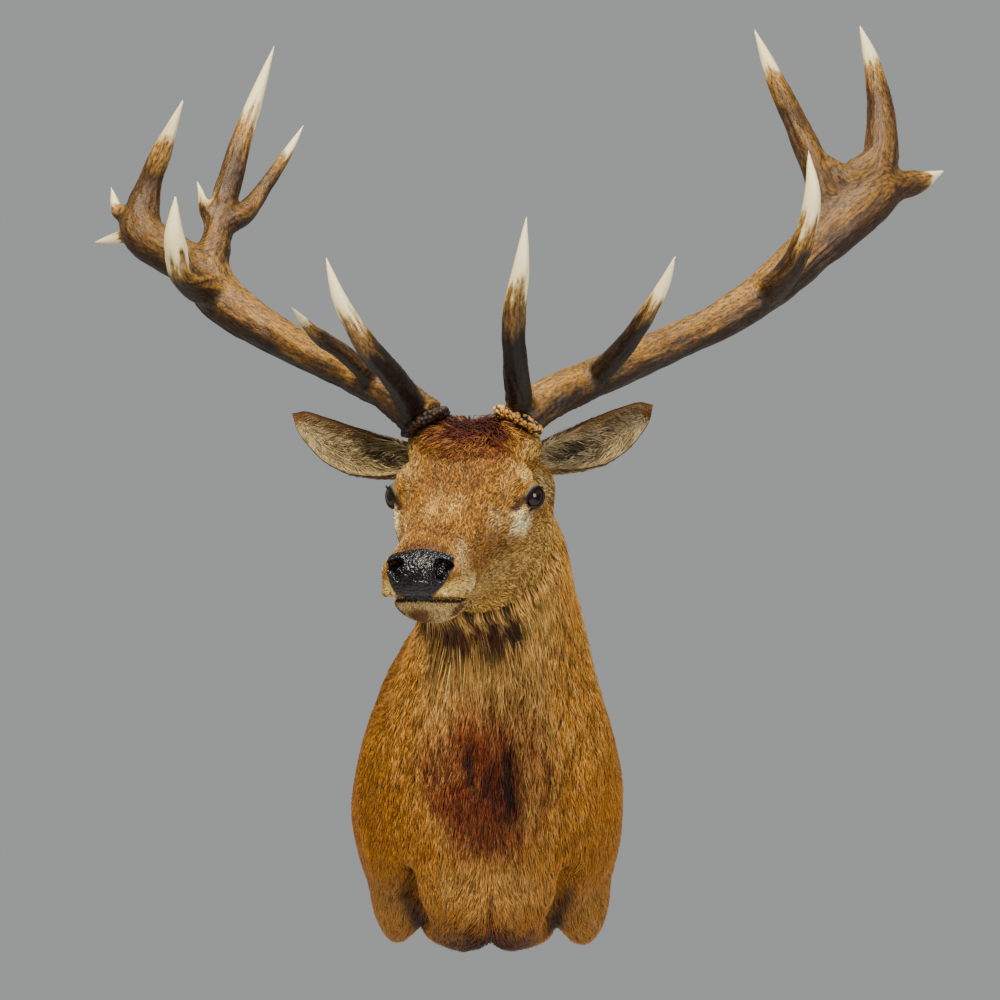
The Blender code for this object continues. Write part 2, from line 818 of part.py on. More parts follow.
def boxes_meet(a, b):
    """True where the boxes of two objects overlap."""
    bpy.context.view_layer.update()
    corners = [
        np.array([o.matrix_world @ Vector(c) for c in o.bound_box]) for o in (a, b)
    ]
    low = np.maximum(corners[0].min(axis=0), corners[1].min(axis=0))
    high = np.minimum(corners[0].max(axis=0), corners[1].max(axis=0))
    return bool((high > low).all())


def main():
    clear_scene()
    parts = new_collection("red_deer_shoulder_mount")
    cutters = new_collection("cutters", hidden=True)
    hide = finish("red_deer_hide", (0.40, 0.20, 0.06), 0.85)
    bone = finish("antler_bone", (0.19, 0.11, 0.05), 0.60)
    glass = finish("glass_eye", (0.03, 0.012, 0.006), 0.05)
    wood = finish("board_plywood", (0.50, 0.36, 0.20), 0.70)

    body, body_cutter = make_body(parts, cutters, hide)
    make_board(parts, wood)
    for side, sign, tines in (
        ("right", -1.0, RIGHT_ANTLER),
        ("left", 1.0, LEFT_ANTLER),
    ):
        cut(body["head"], make_eye(side, sign, parts, cutters, glass))
        make_ear(side, sign, parts, body_cutter, hide)
        make_leg(side, sign, parts, body_cutter, hide)
        make_antler(side, sign, tines, parts, cutters, body_cutter, bone)
        clear_ear(side, parts, cutters)
    for cutter in cutters.objects:
        cutter.hide_render = True
        cutter.display_type = "WIRE"


main()
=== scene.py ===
"""The looks of a red deer stag's shoulder mount on its back board, life size.

Metres, +Z up.  The origin is on the back of the board, in the plane of the wall.  The
stag looks along -Y with its head turned a little to its own right, which is -X.

One skin covers trunk, neck, head, forelegs and ears.  It is a grid of points worked out
from a table of body sections, drawn in by the depth of the coat, and then modelled at
the eyes, nose, mouth and brisket.  The coat is thousands of thin tapered tufts that
follow that grid along the lie of the hair.  Each antler is a set of tapered tubes grown
into one skin of bone.  The glass eyes, their dark lids and the board stay separate.
"""

import itertools
import logging
import math
from dataclasses import dataclass, field
from enum import Enum
from functools import partial
from typing import Any, Callable, NamedTuple, Sequence

import bpy
import numpy as np
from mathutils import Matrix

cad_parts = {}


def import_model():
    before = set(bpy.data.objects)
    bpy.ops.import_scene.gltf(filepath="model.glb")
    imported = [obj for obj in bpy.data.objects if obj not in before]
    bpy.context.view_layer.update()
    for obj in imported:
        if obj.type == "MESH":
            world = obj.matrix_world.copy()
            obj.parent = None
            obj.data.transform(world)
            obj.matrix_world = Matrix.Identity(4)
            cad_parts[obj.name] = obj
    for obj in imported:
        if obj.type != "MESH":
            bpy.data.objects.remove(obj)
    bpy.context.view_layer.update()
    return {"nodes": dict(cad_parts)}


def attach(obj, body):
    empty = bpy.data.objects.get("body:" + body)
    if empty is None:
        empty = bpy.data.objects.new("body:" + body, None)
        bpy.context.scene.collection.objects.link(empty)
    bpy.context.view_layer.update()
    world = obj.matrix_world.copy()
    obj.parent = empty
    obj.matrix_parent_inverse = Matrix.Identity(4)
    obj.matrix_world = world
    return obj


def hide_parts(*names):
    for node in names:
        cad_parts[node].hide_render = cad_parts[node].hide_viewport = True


LOG = logging.getLogger("stag_mount")
Array = np.ndarray
Triple = tuple[float, float, float]
Mesh, Material, Node = bpy.types.Mesh, bpy.types.Material, bpy.types.Node
TUFT_PATCH = 0.003  # size of a tuft's patch on the unwrap of the skin


# ---------------------------------------------------------------- small helpers


def linear(colour: str) -> Array:
    """Linear RGB of an sRGB colour, given as "#rrggbb", by the sRGB curve."""
    value = np.array([int(colour[i : i + 2], 16) for i in (1, 3, 5)]) / 255.0
    return np.where(value <= 0.04045, value / 12.92, ((value + 0.055) / 1.055) ** 2.4)


def rgba(colour: str) -> tuple[float, ...]:
    """The same colour with full opacity, as a shader socket takes it."""
    return (*linear(colour), 1.0)


def add_node(
    tree: bpy.types.NodeTree,
    kind: str,
    settings: dict[Any, Any] | None = None,
    links: dict[Any, Any] | None = None,
) -> Node:
    """Adds one node of a kind, named without its prefix, and fills it."""
    return fill(tree.nodes.new("ShaderNode" + kind), settings, links)


def fill(node: Node, settings: dict[Any, Any] | None, links: dict[Any, Any] | None) -> Node:
    """Gives a node its settings and links.

    Args:
        node: the node.
        settings: values for its properties, or for its inputs by name or number.
        links: for each input, the output that feeds it, or the node whose first
            output does.

    Returns:
        The same node.
    """
    for name, value in (settings or {}).items():
        if isinstance(name, str) and hasattr(node, name):
            setattr(node, name, value)
        else:
            node.inputs[name].default_value = value
    for name, source in (links or {}).items():
        if isinstance(source, Node):
            source = source.outputs[0]
        node.id_data.links.new(source, node.inputs[name])
    return node


def unit(vectors: Array) -> Array:
    """Each vector over its own length."""
    return vectors / np.maximum(np.linalg.norm(vectors, axis=-1, keepdims=True), 1e-12)


def dot(a: Array, b: Array) -> Array:
    """Dot product along the last axis."""
    return (a * b).sum(axis=-1)


def ease(low: float, high: float, value: Array) -> Array:
    """0 at low and 1 at high, by 3t² - 2t³ between; low may be above high."""
    t = np.clip((value - low) / (high - low), 0.0, 1.0)
    return t * t * (3.0 - 2.0 * t)


def blend(a: Array, b: Array, share: Array) -> Array:
    """a where the share is 0 and b where it is 1."""
    return a + (b - a) * np.asarray(share)[..., None]


def over(colour: Array, paint: str, share: Array) -> Array:
    """The colour, with as great a share of a paint, given in hex, over it."""
    return blend(colour, linear(paint), share)


def valley(away: Array, half_width: float) -> Array:
    """exp(-(d/w)²): 1 on a line, fading away to both sides of it."""
    return np.exp(-((away / half_width) ** 2))


def full_turn(count: int) -> Array:
    """Angles of even steps once round."""
    return np.arange(count) * 2 * math.pi / count


def on_side(local: Any, sign: float) -> Array:
    """Head coordinates of the stag's left, taken to the side with this sign."""
    return np.asarray(local) * (1.0, sign, 1.0)


def curve_through(values: Sequence, at: Array) -> Array:
    """A Catmull-Rom curve through rows of values, read at fractional row numbers.

    Args:
        values: the rows, one or more numbers each.
        at: row numbers, which may be fractions.

    Returns:
        One row of numbers for each number in `at`.
    """
    table = np.asarray(values, float)
    table = table.reshape(len(table), -1)
    padded = np.vstack((2 * table[0] - table[1], table, 2 * table[-1] - table[-2]))
    index = np.clip(np.floor(at).astype(int), 0, len(table) - 2)
    t = (np.asarray(at) - index)[:, None]
    a, b, c, d = (padded[index + k] for k in range(4))
    return 0.5 * (
        2 * b
        + (c - a) * t
        + (2 * a - 5 * b + 4 * c - d) * t**2
        + (3 * b - a - 3 * c + d) * t**3
    )


def scrambled(cell: Array, seed: int) -> Array:
    """A number from 0 to 1 of its own for each cube of space, by mixing its bits."""
    spot = cell.astype(np.int64).astype(np.uint64)
    mixed = (
        spot[..., 0] * np.uint64(73856093)
        ^ spot[..., 1] * np.uint64(19349663)
        ^ spot[..., 2] * np.uint64(83492791)
        ^ np.uint64(seed * 2654435761 + 97)
    )
    mixed = (mixed ^ (mixed >> np.uint64(15))) * np.uint64(2246822519)
    mixed = (mixed ^ (mixed >> np.uint64(13))) * np.uint64(3266489917)
    return ((mixed >> np.uint64(16)) & np.uint64(0xFFFF)).astype(float) / 65535.0


def ragged(points: Array, size: float, seed: int = 0) -> Array:
    """Smooth noise from -1 to 1.

    Space is cut into cubes of edge `size`.  Each corner has a number of its own, and
    inside a cube the eight corners are blended by 3t² - 2t³ along each side.

    Args:
        points: places, three numbers each.
        size: edge of a cube in metres.
        seed: picks another pattern.

    Returns:
        One number for each place.
    """
    cell = points / size
    base = np.floor(cell)
    t = cell - base
    t = t * t * (3.0 - 2.0 * t)
    total = np.zeros(points.shape[:-1])
    for corner in itertools.product((0, 1), repeat=3):
        share = np.prod(np.where(np.array(corner) == 1, t, 1.0 - t), axis=-1)
        total += (2.0 * scrambled(base + corner, seed) - 1.0) * share
    return total


def pebbles(points: Array, size: float, seed: int = 0) -> Array:
    """Domes round scattered places, one in each cube of edge `size`.

    The height is 1 - (d/0.8)² cut off at 0, d the distance to the nearest of the
    places in cubes.
    """
    cell = points / size
    base = np.floor(cell)
    nearest = np.full(points.shape[:-1], 9.0)
    for step in itertools.product((-1, 0, 1), repeat=3):
        there = base + step
        place = there + np.stack(
            [0.15 + 0.7 * scrambled(there, seed + k) for k in range(3)], axis=-1
        )
        nearest = np.minimum(nearest, np.linalg.norm(cell - place, axis=-1))
    return np.clip(1.0 - (nearest / 0.8) ** 2, 0.0, 1.0)


def from_line(points: Array, start: Any, end: Any) -> Array:
    """Distance of each point from a straight piece of line."""
    a, b = np.array(start, float), np.array(end, float)
    t = np.clip(dot(points - a, b - a) / max((b - a) @ (b - a), 1e-12), 0.0, 1.0)
    return np.linalg.norm(points - a - t[..., None] * (b - a), axis=-1)


def in_egg(points: Array, place: Any, reach: Any, end: Any = None) -> Array:
    """How far each point is from the middle of an egg, or of a band, 1 on its surface."""
    size = np.array(reach)
    last = place if end is None else end
    return from_line(points / size, np.array(place) / size, np.array(last) / size)


def ring_faces(rows: int, columns: int, first: int = 0) -> Array:
    """Four-sided faces of a grid whose columns close round.

    Args:
        rows: rows of points.
        columns: points in a row.
        first: number of the grid's first point.

    Returns:
        Corner numbers, one row of four for each face.
    """
    r, c = np.meshgrid(np.arange(rows - 1), np.arange(columns), indexing="ij")
    a, b = r * columns + c, r * columns + (c + 1) % columns
    quads = np.stack((a, a + columns, b + columns, b), axis=-1)
    return quads.reshape(-1, 4) + first


def fan_faces(middle: int, ring: Array) -> Array:
    """Triangles from a middle point to a closed ring of points."""
    return np.stack((np.full(len(ring), middle), ring, np.roll(ring, -1)), axis=-1)


def closed_tube(grid: Array, first_end: Any, last_end: Any) -> tuple[Array, list[Array]]:
    """A grid whose columns close round, with a point at each end.

    Args:
        grid: rows by columns by three.
        first_end: the point before the first row.
        last_end: the point after the last row.

    Returns:
        All the points, and the faces: four-sided ones, then the two fans.
    """
    rows, columns = grid.shape[:2]
    count, ring = rows * columns, np.arange(columns)
    points = np.vstack((grid.reshape(-1, 3), first_end, last_end))
    last = count - columns + ring[::-1]
    caps = np.vstack((fan_faces(count, ring), fan_faces(count + 1, last)))
    return points, [ring_faces(rows, columns), caps]


def outwards(points: Array, faces: list[Array]) -> list[Array]:
    """The faces, all turned round if the volume that they enclose is negative."""
    volume = 0.0
    for group in faces:
        for k in range(1, group.shape[1] - 1):
            a, b, c = (points[group[:, i]] for i in (0, k, k + 1))
            volume += dot(a, np.cross(b, c)).sum()
    return faces if volume > 0 else [f[:, ::-1] for f in faces]


def joined(parts: Sequence[tuple[Array, list[Array]]]) -> tuple[Array, list[Array]]:
    """Points and faces of closed tubes, numbered on as those of one mesh."""
    points, quads, caps, count = [], [], [], 0
    for spots, (four_sided, fans) in parts:
        points.append(spots)
        quads.append(four_sided + count)
        caps.append(fans + count)
        count += len(spots)
    return np.vstack(points), [np.vstack(quads), np.vstack(caps)]


def mesh_from(name: str, points: Array, faces: Sequence[Array], smooth: bool = True) -> Mesh:
    """A mesh from arrays.

    Args:
        name: name of the mesh.
        points: places of its vertices.
        faces: arrays of corner numbers, each with its own number of corners a face.
        smooth: whether it is shaded smooth.

    Returns:
        The mesh, with its faces in the order given.
    """
    faces = [np.asarray(f) for f in faces if len(f)]
    mesh = bpy.data.meshes.new(name)
    mesh.vertices.add(len(points))
    mesh.vertices.foreach_set("co", np.asarray(points, np.float32).ravel())
    corners = np.concatenate([f.ravel() for f in faces])
    sizes = np.concatenate([np.full(len(f), f.shape[1]) for f in faces])
    mesh.loops.add(len(corners))
    mesh.loops.foreach_set("vertex_index", corners.astype(np.int32))
    mesh.polygons.add(len(sizes))
    starts = np.concatenate(([0], np.cumsum(sizes)[:-1]))
    mesh.polygons.foreach_set("loop_start", starts.astype(np.int32))
    mesh.update(calc_edges=True)
    mesh.polygons.foreach_set("use_smooth", np.full(len(sizes), smooth))
    return mesh


def paint(mesh: Mesh, name: str, colours: Array) -> None:
    """Stores a linear colour at each vertex."""
    layer = mesh.color_attributes.new(name, "FLOAT_COLOR", "POINT")
    full = np.ones((len(colours), 4), np.float32)
    full[:, :3] = np.clip(colours, 0.0, 1.0)
    layer.data.foreach_set("color", full.ravel())


def unwrap(mesh: Mesh, name: str, places: Array) -> None:
    """Stores a UV map, two numbers for each face corner."""
    layer = mesh.uv_layers.new(name=name)
    layer.uv.foreach_set("vector", np.asarray(places, np.float32).ravel())


def spikes(
    name: str,
    line: Sequence[Array],
    rise: Sequence[Array],
    width: Array,
    colour: Array,
    flat: Array,
    tones: Triple = (0.5, 1.0, 1.3),
) -> Mesh:
    """Tufts of hair: three-sided spikes of ten triangles each.

    Each has a ring of three corners at its root and at its middle, two of them
    lying side by side and the third above them as a ridge, and ends in a point.

    Args:
        name: name of the mesh.
        line: root, middle and tip of each tuft.
        rise: the way up from the skin at each of them.
        width: of each tuft.
        colour: of each tuft, linear.
        flat: places of the roots on the unwrap of the skin.
        tones: brightness at root, middle and tip.

    Returns:
        The mesh, with colours and the unwrap.
    """
    points, colours = [], []
    for k, share in enumerate((0.75, 1.0)):
        ahead = unit(line[k + 1] - line[k])
        side = unit(np.cross(rise[k], ahead))
        half = (width * share / 2)[:, None]
        ridge = line[k] + 0.8 * half * np.cross(ahead, side)
        points += [line[k] + side * half, ridge, line[k] - side * half]
        colours += [colour * tones[k]] * 3
    points.append(line[2])
    colours.append(colour * tones[2])
    first = (np.arange(len(width)) * 7)[:, None]
    quads = [first + (i, (i + 1) % 3, 3 + (i + 1) % 3, 3 + i) for i in range(3)]
    ends = [first + (3 + i, 3 + (i + 1) % 3, 6) for i in range(3)]
    faces = [np.vstack(quads), np.vstack((*ends, first + np.array((0, 2, 1))))]
    mesh = mesh_from(name, np.stack(points, axis=1).reshape(-1, 3), faces)
    paint(mesh, "Markings", np.stack(colours, axis=1).reshape(-1, 3))
    spread = [(x, y) for y in (-0.5, 0.0) for x in (-0.5, 0.0, 0.5)] + [(0.0, 0.5)]
    places = flat[:, None] + TUFT_PATCH * np.array(spread)
    corner = np.concatenate([f.ravel() for f in faces])
    unwrap(mesh, "OFBake", places.reshape(-1, 2)[corner])
    return mesh


def show(name: str, mesh: Mesh, *materials: Material) -> bpy.types.Object:
    """An object at the origin that shows the mesh with these materials."""
    for material in materials:
        mesh.materials.append(material)
    made = bpy.data.objects.new(name, mesh)
    bpy.context.scene.collection.objects.link(made)
    return made


def add_piece(
    name: str,
    mesh: Mesh,
    slot: str,
    *materials: Material,
    replaced: Sequence[str] = (),
) -> None:
    """Adds a piece that rides on the mount's one body.

    Args:
        name: of the piece.
        mesh: its mesh.
        slot: name of its material slot; not used.
        materials: finishes of its faces.
        replaced: names of the frame's pieces that it stands for.
    """
    piece = show(name, mesh, *materials)
    if replaced:
        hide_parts(*replaced)
    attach(piece, "root")
    count = sum(len(p.vertices) - 2 for p in mesh.polygons)
    LOG.info("%s: %d triangles", name, count)


# ---------------------------------------------------------------- finishes

MARKINGS = {"attribute_name": "Markings"}  # the colours stored at the vertices


def start_material(name: str) -> tuple[Material, Callable[..., Node]]:
    """A new material, and add_node for its own tree."""
    made = bpy.data.materials.new(name)
    made.use_nodes = True
    return made, partial(add_node, made.node_tree)


def finished(
    made: Material, values: dict[str, Any], links: dict[str, Any] | None = None
) -> Material:
    """The material, once its main shader has these values and links."""
    fill(made.node_tree.nodes["Principled BSDF"], values, links)
    return made


@dataclass(frozen=True)
class HideFinish:
    """Tanned deer hide under short hair: dull, finely streaked along the lie."""

    roughness: float = 0.78
    specular: float = 0.25
    hair_across: float = 0.0011  # real hair is 0.1 mm; drawn coarser, so it shows
    hair_along: float = 0.012
    relief: float = 0.0006

    def material(self) -> Material:
        """Vertex colours, with a bump of long fine noise along the hair."""
        made, add = start_material("red_deer_hide")
        colour = add("Attribute", MARKINGS)
        lie = add("UVMap", {"uv_map": "Lie"})
        stretch = (1.0 / self.hair_across, 1.0 / self.hair_along, 1.0)
        mapped = add("Mapping", {"Scale": stretch}, {"Vector": lie})
        streak = add("TexNoise", {"Scale": 1.0, "Detail": 2.0}, {"Vector": mapped})
        bump = add("Bump", {"Distance": self.relief, "Strength": 0.6}, {"Height": streak})
        values = {"Roughness": self.roughness, "Specular IOR Level": self.specular}
        return finished(made, values, {"Base Color": colour, "Normal": bump})


@dataclass(frozen=True)
class NoseFinish:
    """Bare nose leather under clear lacquer: near black, pebbled, wet to the eye."""

    roughness: float = 0.27
    specular: float = 0.36
    pebble: float = 0.0036  # real pebbles are about 1.5 mm; drawn coarser, so they show
    relief: float = 0.0017

    def material(self) -> Material:
        """Vertex colours, with a bump of rounded cells."""
        made, add = start_material("lacquered_nose_leather")
        colour = add("Attribute", MARKINGS)
        where = add("TexCoord").outputs["Object"]
        rounded = {"Scale": 1.0 / self.pebble, "feature": "SMOOTH_F1", "Smoothness": 0.6}
        cells = add("TexVoronoi", rounded, {"Vector": where})
        raised = {"Distance": self.relief, "Strength": 1.0, "invert": True}
        bump = add("Bump", raised, {"Height": cells})
        values = {"Roughness": self.roughness, "Specular IOR Level": self.specular}
        return finished(made, values, {"Base Color": colour, "Normal": bump})


@dataclass(frozen=True)
class PlainFinish:
    """A surface whose vertex colours and own relief say all, at one dullness."""

    name: str
    roughness: float
    specular: float

    def material(self) -> Material:
        """Vertex colours alone."""
        made, add = start_material(self.name)
        values = {"Roughness": self.roughness, "Specular IOR Level": self.specular}
        return finished(made, values, {"Base Color": add("Attribute", MARKINGS)})


# Deer hair, half dull, gives a soft shine along each tuft.
HAIR = PlainFinish("red_deer_hair", 0.58, 0.30)
# Painted epoxy, for the lid line: black-brown and half glossy.
LID = PlainFinish("painted_lid_epoxy", 0.45, 0.15)


@dataclass(frozen=True)
class BoneFinish:
    """Antler bone, oiled: stained brown in its grain, smooth and ivory at the tips."""

    rough_bone: float = 0.43
    polished: float = 0.26
    specular: float = 0.30
    grain: float = 0.0026
    longer: float = 3.5  # times, along the branch
    relief: float = 0.0010

    def material(self) -> Material:
        """Vertex colours streaked by noise, and a bump that fades at polished tips."""
        made, add = start_material("antler_bone")
        names = ("Markings", "Polish", "Grain")
        colour, polish, where = (add("Attribute", {"attribute_name": n}) for n in names)
        polish, across = polish.outputs["Fac"], 1.0 / self.grain
        stretch = {"Scale": (across, across, across / self.longer)}
        grain = add("Mapping", stretch, {"Vector": where.outputs["Vector"]})
        noise = {"Scale": 1.0, "Detail": 5.0, "Roughness": 0.65}
        streak = add("TexNoise", noise, {"Vector": grain})
        depth = add("MapRange", {"To Min": 1.0, "To Max": 0.04}, {"Value": polish})
        height = {"Height": streak, "Strength": depth}
        bump = add("Bump", {"Distance": self.relief}, height)
        contrast = {"From Min": 0.36, "From Max": 0.64, "To Min": 0.25, "To Max": 1.75}
        shade = add("MapRange", contrast, {"Value": streak})
        even = {"data_type": "FLOAT", "B": 1.0}
        plain = add("Mix", even, {"Factor": polish, "A": shade})
        scaled = {0: colour, "Scale": plain}
        mottled = add("VectorMath", {"operation": "SCALE"}, scaled)
        dullness = {"To Min": self.rough_bone, "To Max": self.polished}
        gloss = add("MapRange", dullness, {"Value": polish})
        links = {"Base Color": mottled, "Normal": bump, "Roughness": gloss}
        return finished(made, {"Specular IOR Level": self.specular}, links)


@dataclass(frozen=True)
class GlassFinish:
    """Blown glass eye, painted from behind: dark brown under a sharp reflection."""

    iris: str = "#120602"
    ring: str = "#2c1206"
    pupil: str = "#020202"
    white: str = "#080403"
    iris_reach: float = 0.66  # of the ball's radius
    pupil_reach: tuple[float, float] = (0.42, 0.24)

    def material(self) -> Material:
        """Rings of colour about the ball's axis, under a clear coat."""
        made, add = start_material("painted_glass")
        place = add("UVMap", {"uv_map": "Iris"})
        slot = (1.0 / self.pupil_reach[0], 1.0 / self.pupil_reach[1], 0.0)
        mapped = add("Mapping", {"Scale": slot}, {"Vector": place})
        length = {"operation": "LENGTH"}
        across, away = (add("VectorMath", length, {0: v}) for v in (mapped, place))
        rays = add("TexNoise", {"Scale": 9.0, "Detail": 3.0}, {"Vector": place})
        paints = {"data_type": "RGBA", 6: rgba(self.iris), 7: rgba(self.ring)}
        iris = add("Mix", paints, {0: rays})
        rim = {"From Min": self.iris_reach, "From Max": self.iris_reach + 0.07}
        edge = add("MapRange", rim, {"Value": away.outputs["Value"]})
        white = {"data_type": "RGBA", 7: rgba(self.white)}
        ball = add("Mix", white, {0: edge, 6: iris.outputs[2]})
        soft = {"From Min": 0.92, "From Max": 1.10}
        hole = add("MapRange", soft, {"Value": across.outputs["Value"]})
        pupil = {"data_type": "RGBA", 6: rgba(self.pupil)}
        whole = add("Mix", pupil, {0: hole, 7: ball.outputs[2]})
        values = {"Roughness": 0.03, "IOR": 1.48, "Specular IOR Level": 0.34}
        return finished(made, values, {"Base Color": whole.outputs[2]})


@dataclass(frozen=True)
class PlywoodFinish:
    """Birch plywood, bare: pale, with long grain on its faces and plies at its edge."""

    light: str = "#c9a878"
    dark: str = "#a27c4c"
    ply: float = 0.0018
    grain: float = 0.0030

    def material(self) -> Material:
        """Noise stretched along X, times bands through the thickness."""
        made, add = start_material("birch_plywood")
        where = add("TexCoord").outputs["Object"]
        stretch = (0.04 / self.grain, 1.0 / self.ply, 1.0 / self.grain)
        grain = add("Mapping", {"Scale": stretch}, {"Vector": where})
        noise = add("TexNoise", {"Scale": 1.0, "Detail": 3.0}, {"Vector": grain})
        paints = {"data_type": "RGBA", 6: rgba(self.dark), 7: rgba(self.light)}
        mix = add("Mix", paints, {0: noise})
        return finished(made, {"Roughness": 0.72}, {"Base Color": mix.outputs[2]})


@dataclass(frozen=True)
class PaperFinish:
    """Matt studio paper: pale and even."""

    colour: str = "#d2d4d4"

    def material(self) -> Material:
        """One flat colour."""
        made, _ = start_material("studio_paper")
        return finished(made, {"Base Color": rgba(self.colour), "Roughness": 0.9})


# ---------------------------------------------------------------- the body's form


class Station(NamedTuple):
    """One flat section of the body."""

    crest: tuple[float, float]  # top of the section, in its own frame
    base: tuple[float, float]  # underside of the section
    half_width: float
    widest: float  # height of the widest place, 0 at the base and 1 at the crest
    top_square: float  # superellipse power of the upper half, 2 is round
    low_square: float
    sway: float = 0.0  # shift to +X of a trunk or neck section


class Swell(NamedTuple):
    """A smooth rise or hollow on both sides of the head."""

    place: Triple  # along the face, sideways, up
    reach: float
    rise: float


@dataclass(frozen=True)
class HeadFrame:
    """The head's own axes: along the face, to the stag's left, up out of the brow."""

    place: Triple = (-0.029, -0.550, 0.395)
    pitch: float = math.radians(20.0)
    yaw: float = math.radians(11.8)

    def axes(self) -> Array:
        """The three unit vectors, as rows."""
        sin_p, cos_p = math.sin(self.pitch), math.cos(self.pitch)
        sin_y, cos_y = math.sin(self.yaw), math.cos(self.yaw)
        along = (-sin_y * cos_p, -cos_y * cos_p, -sin_p)
        left = (cos_y, -sin_y, 0.0)
        up = (-sin_y * sin_p, -cos_y * sin_p, cos_p)
        return np.array((along, left, up))

    def to_world(self, local: Any) -> Array:
        """World place of head coordinates."""
        return np.array(self.place) + np.asarray(local, float) @ self.axes()

    def to_local(self, points: Array) -> Array:
        """Head coordinates of world places."""
        return (points - np.array(self.place)) @ self.axes().T

    def turn(self, local: Any) -> Array:
        """World direction of a direction in the head."""
        return np.asarray(local, float) @ self.axes()


HEAD = HeadFrame()
CHEST_X = 0.005  # the middle of the chest, from brisket to breast bone
MOUTH_CORNER = 0.185  # along the face
BURR_SEAT = (-0.085, 0.066, 0.080)  # on the head: where the left antler starts


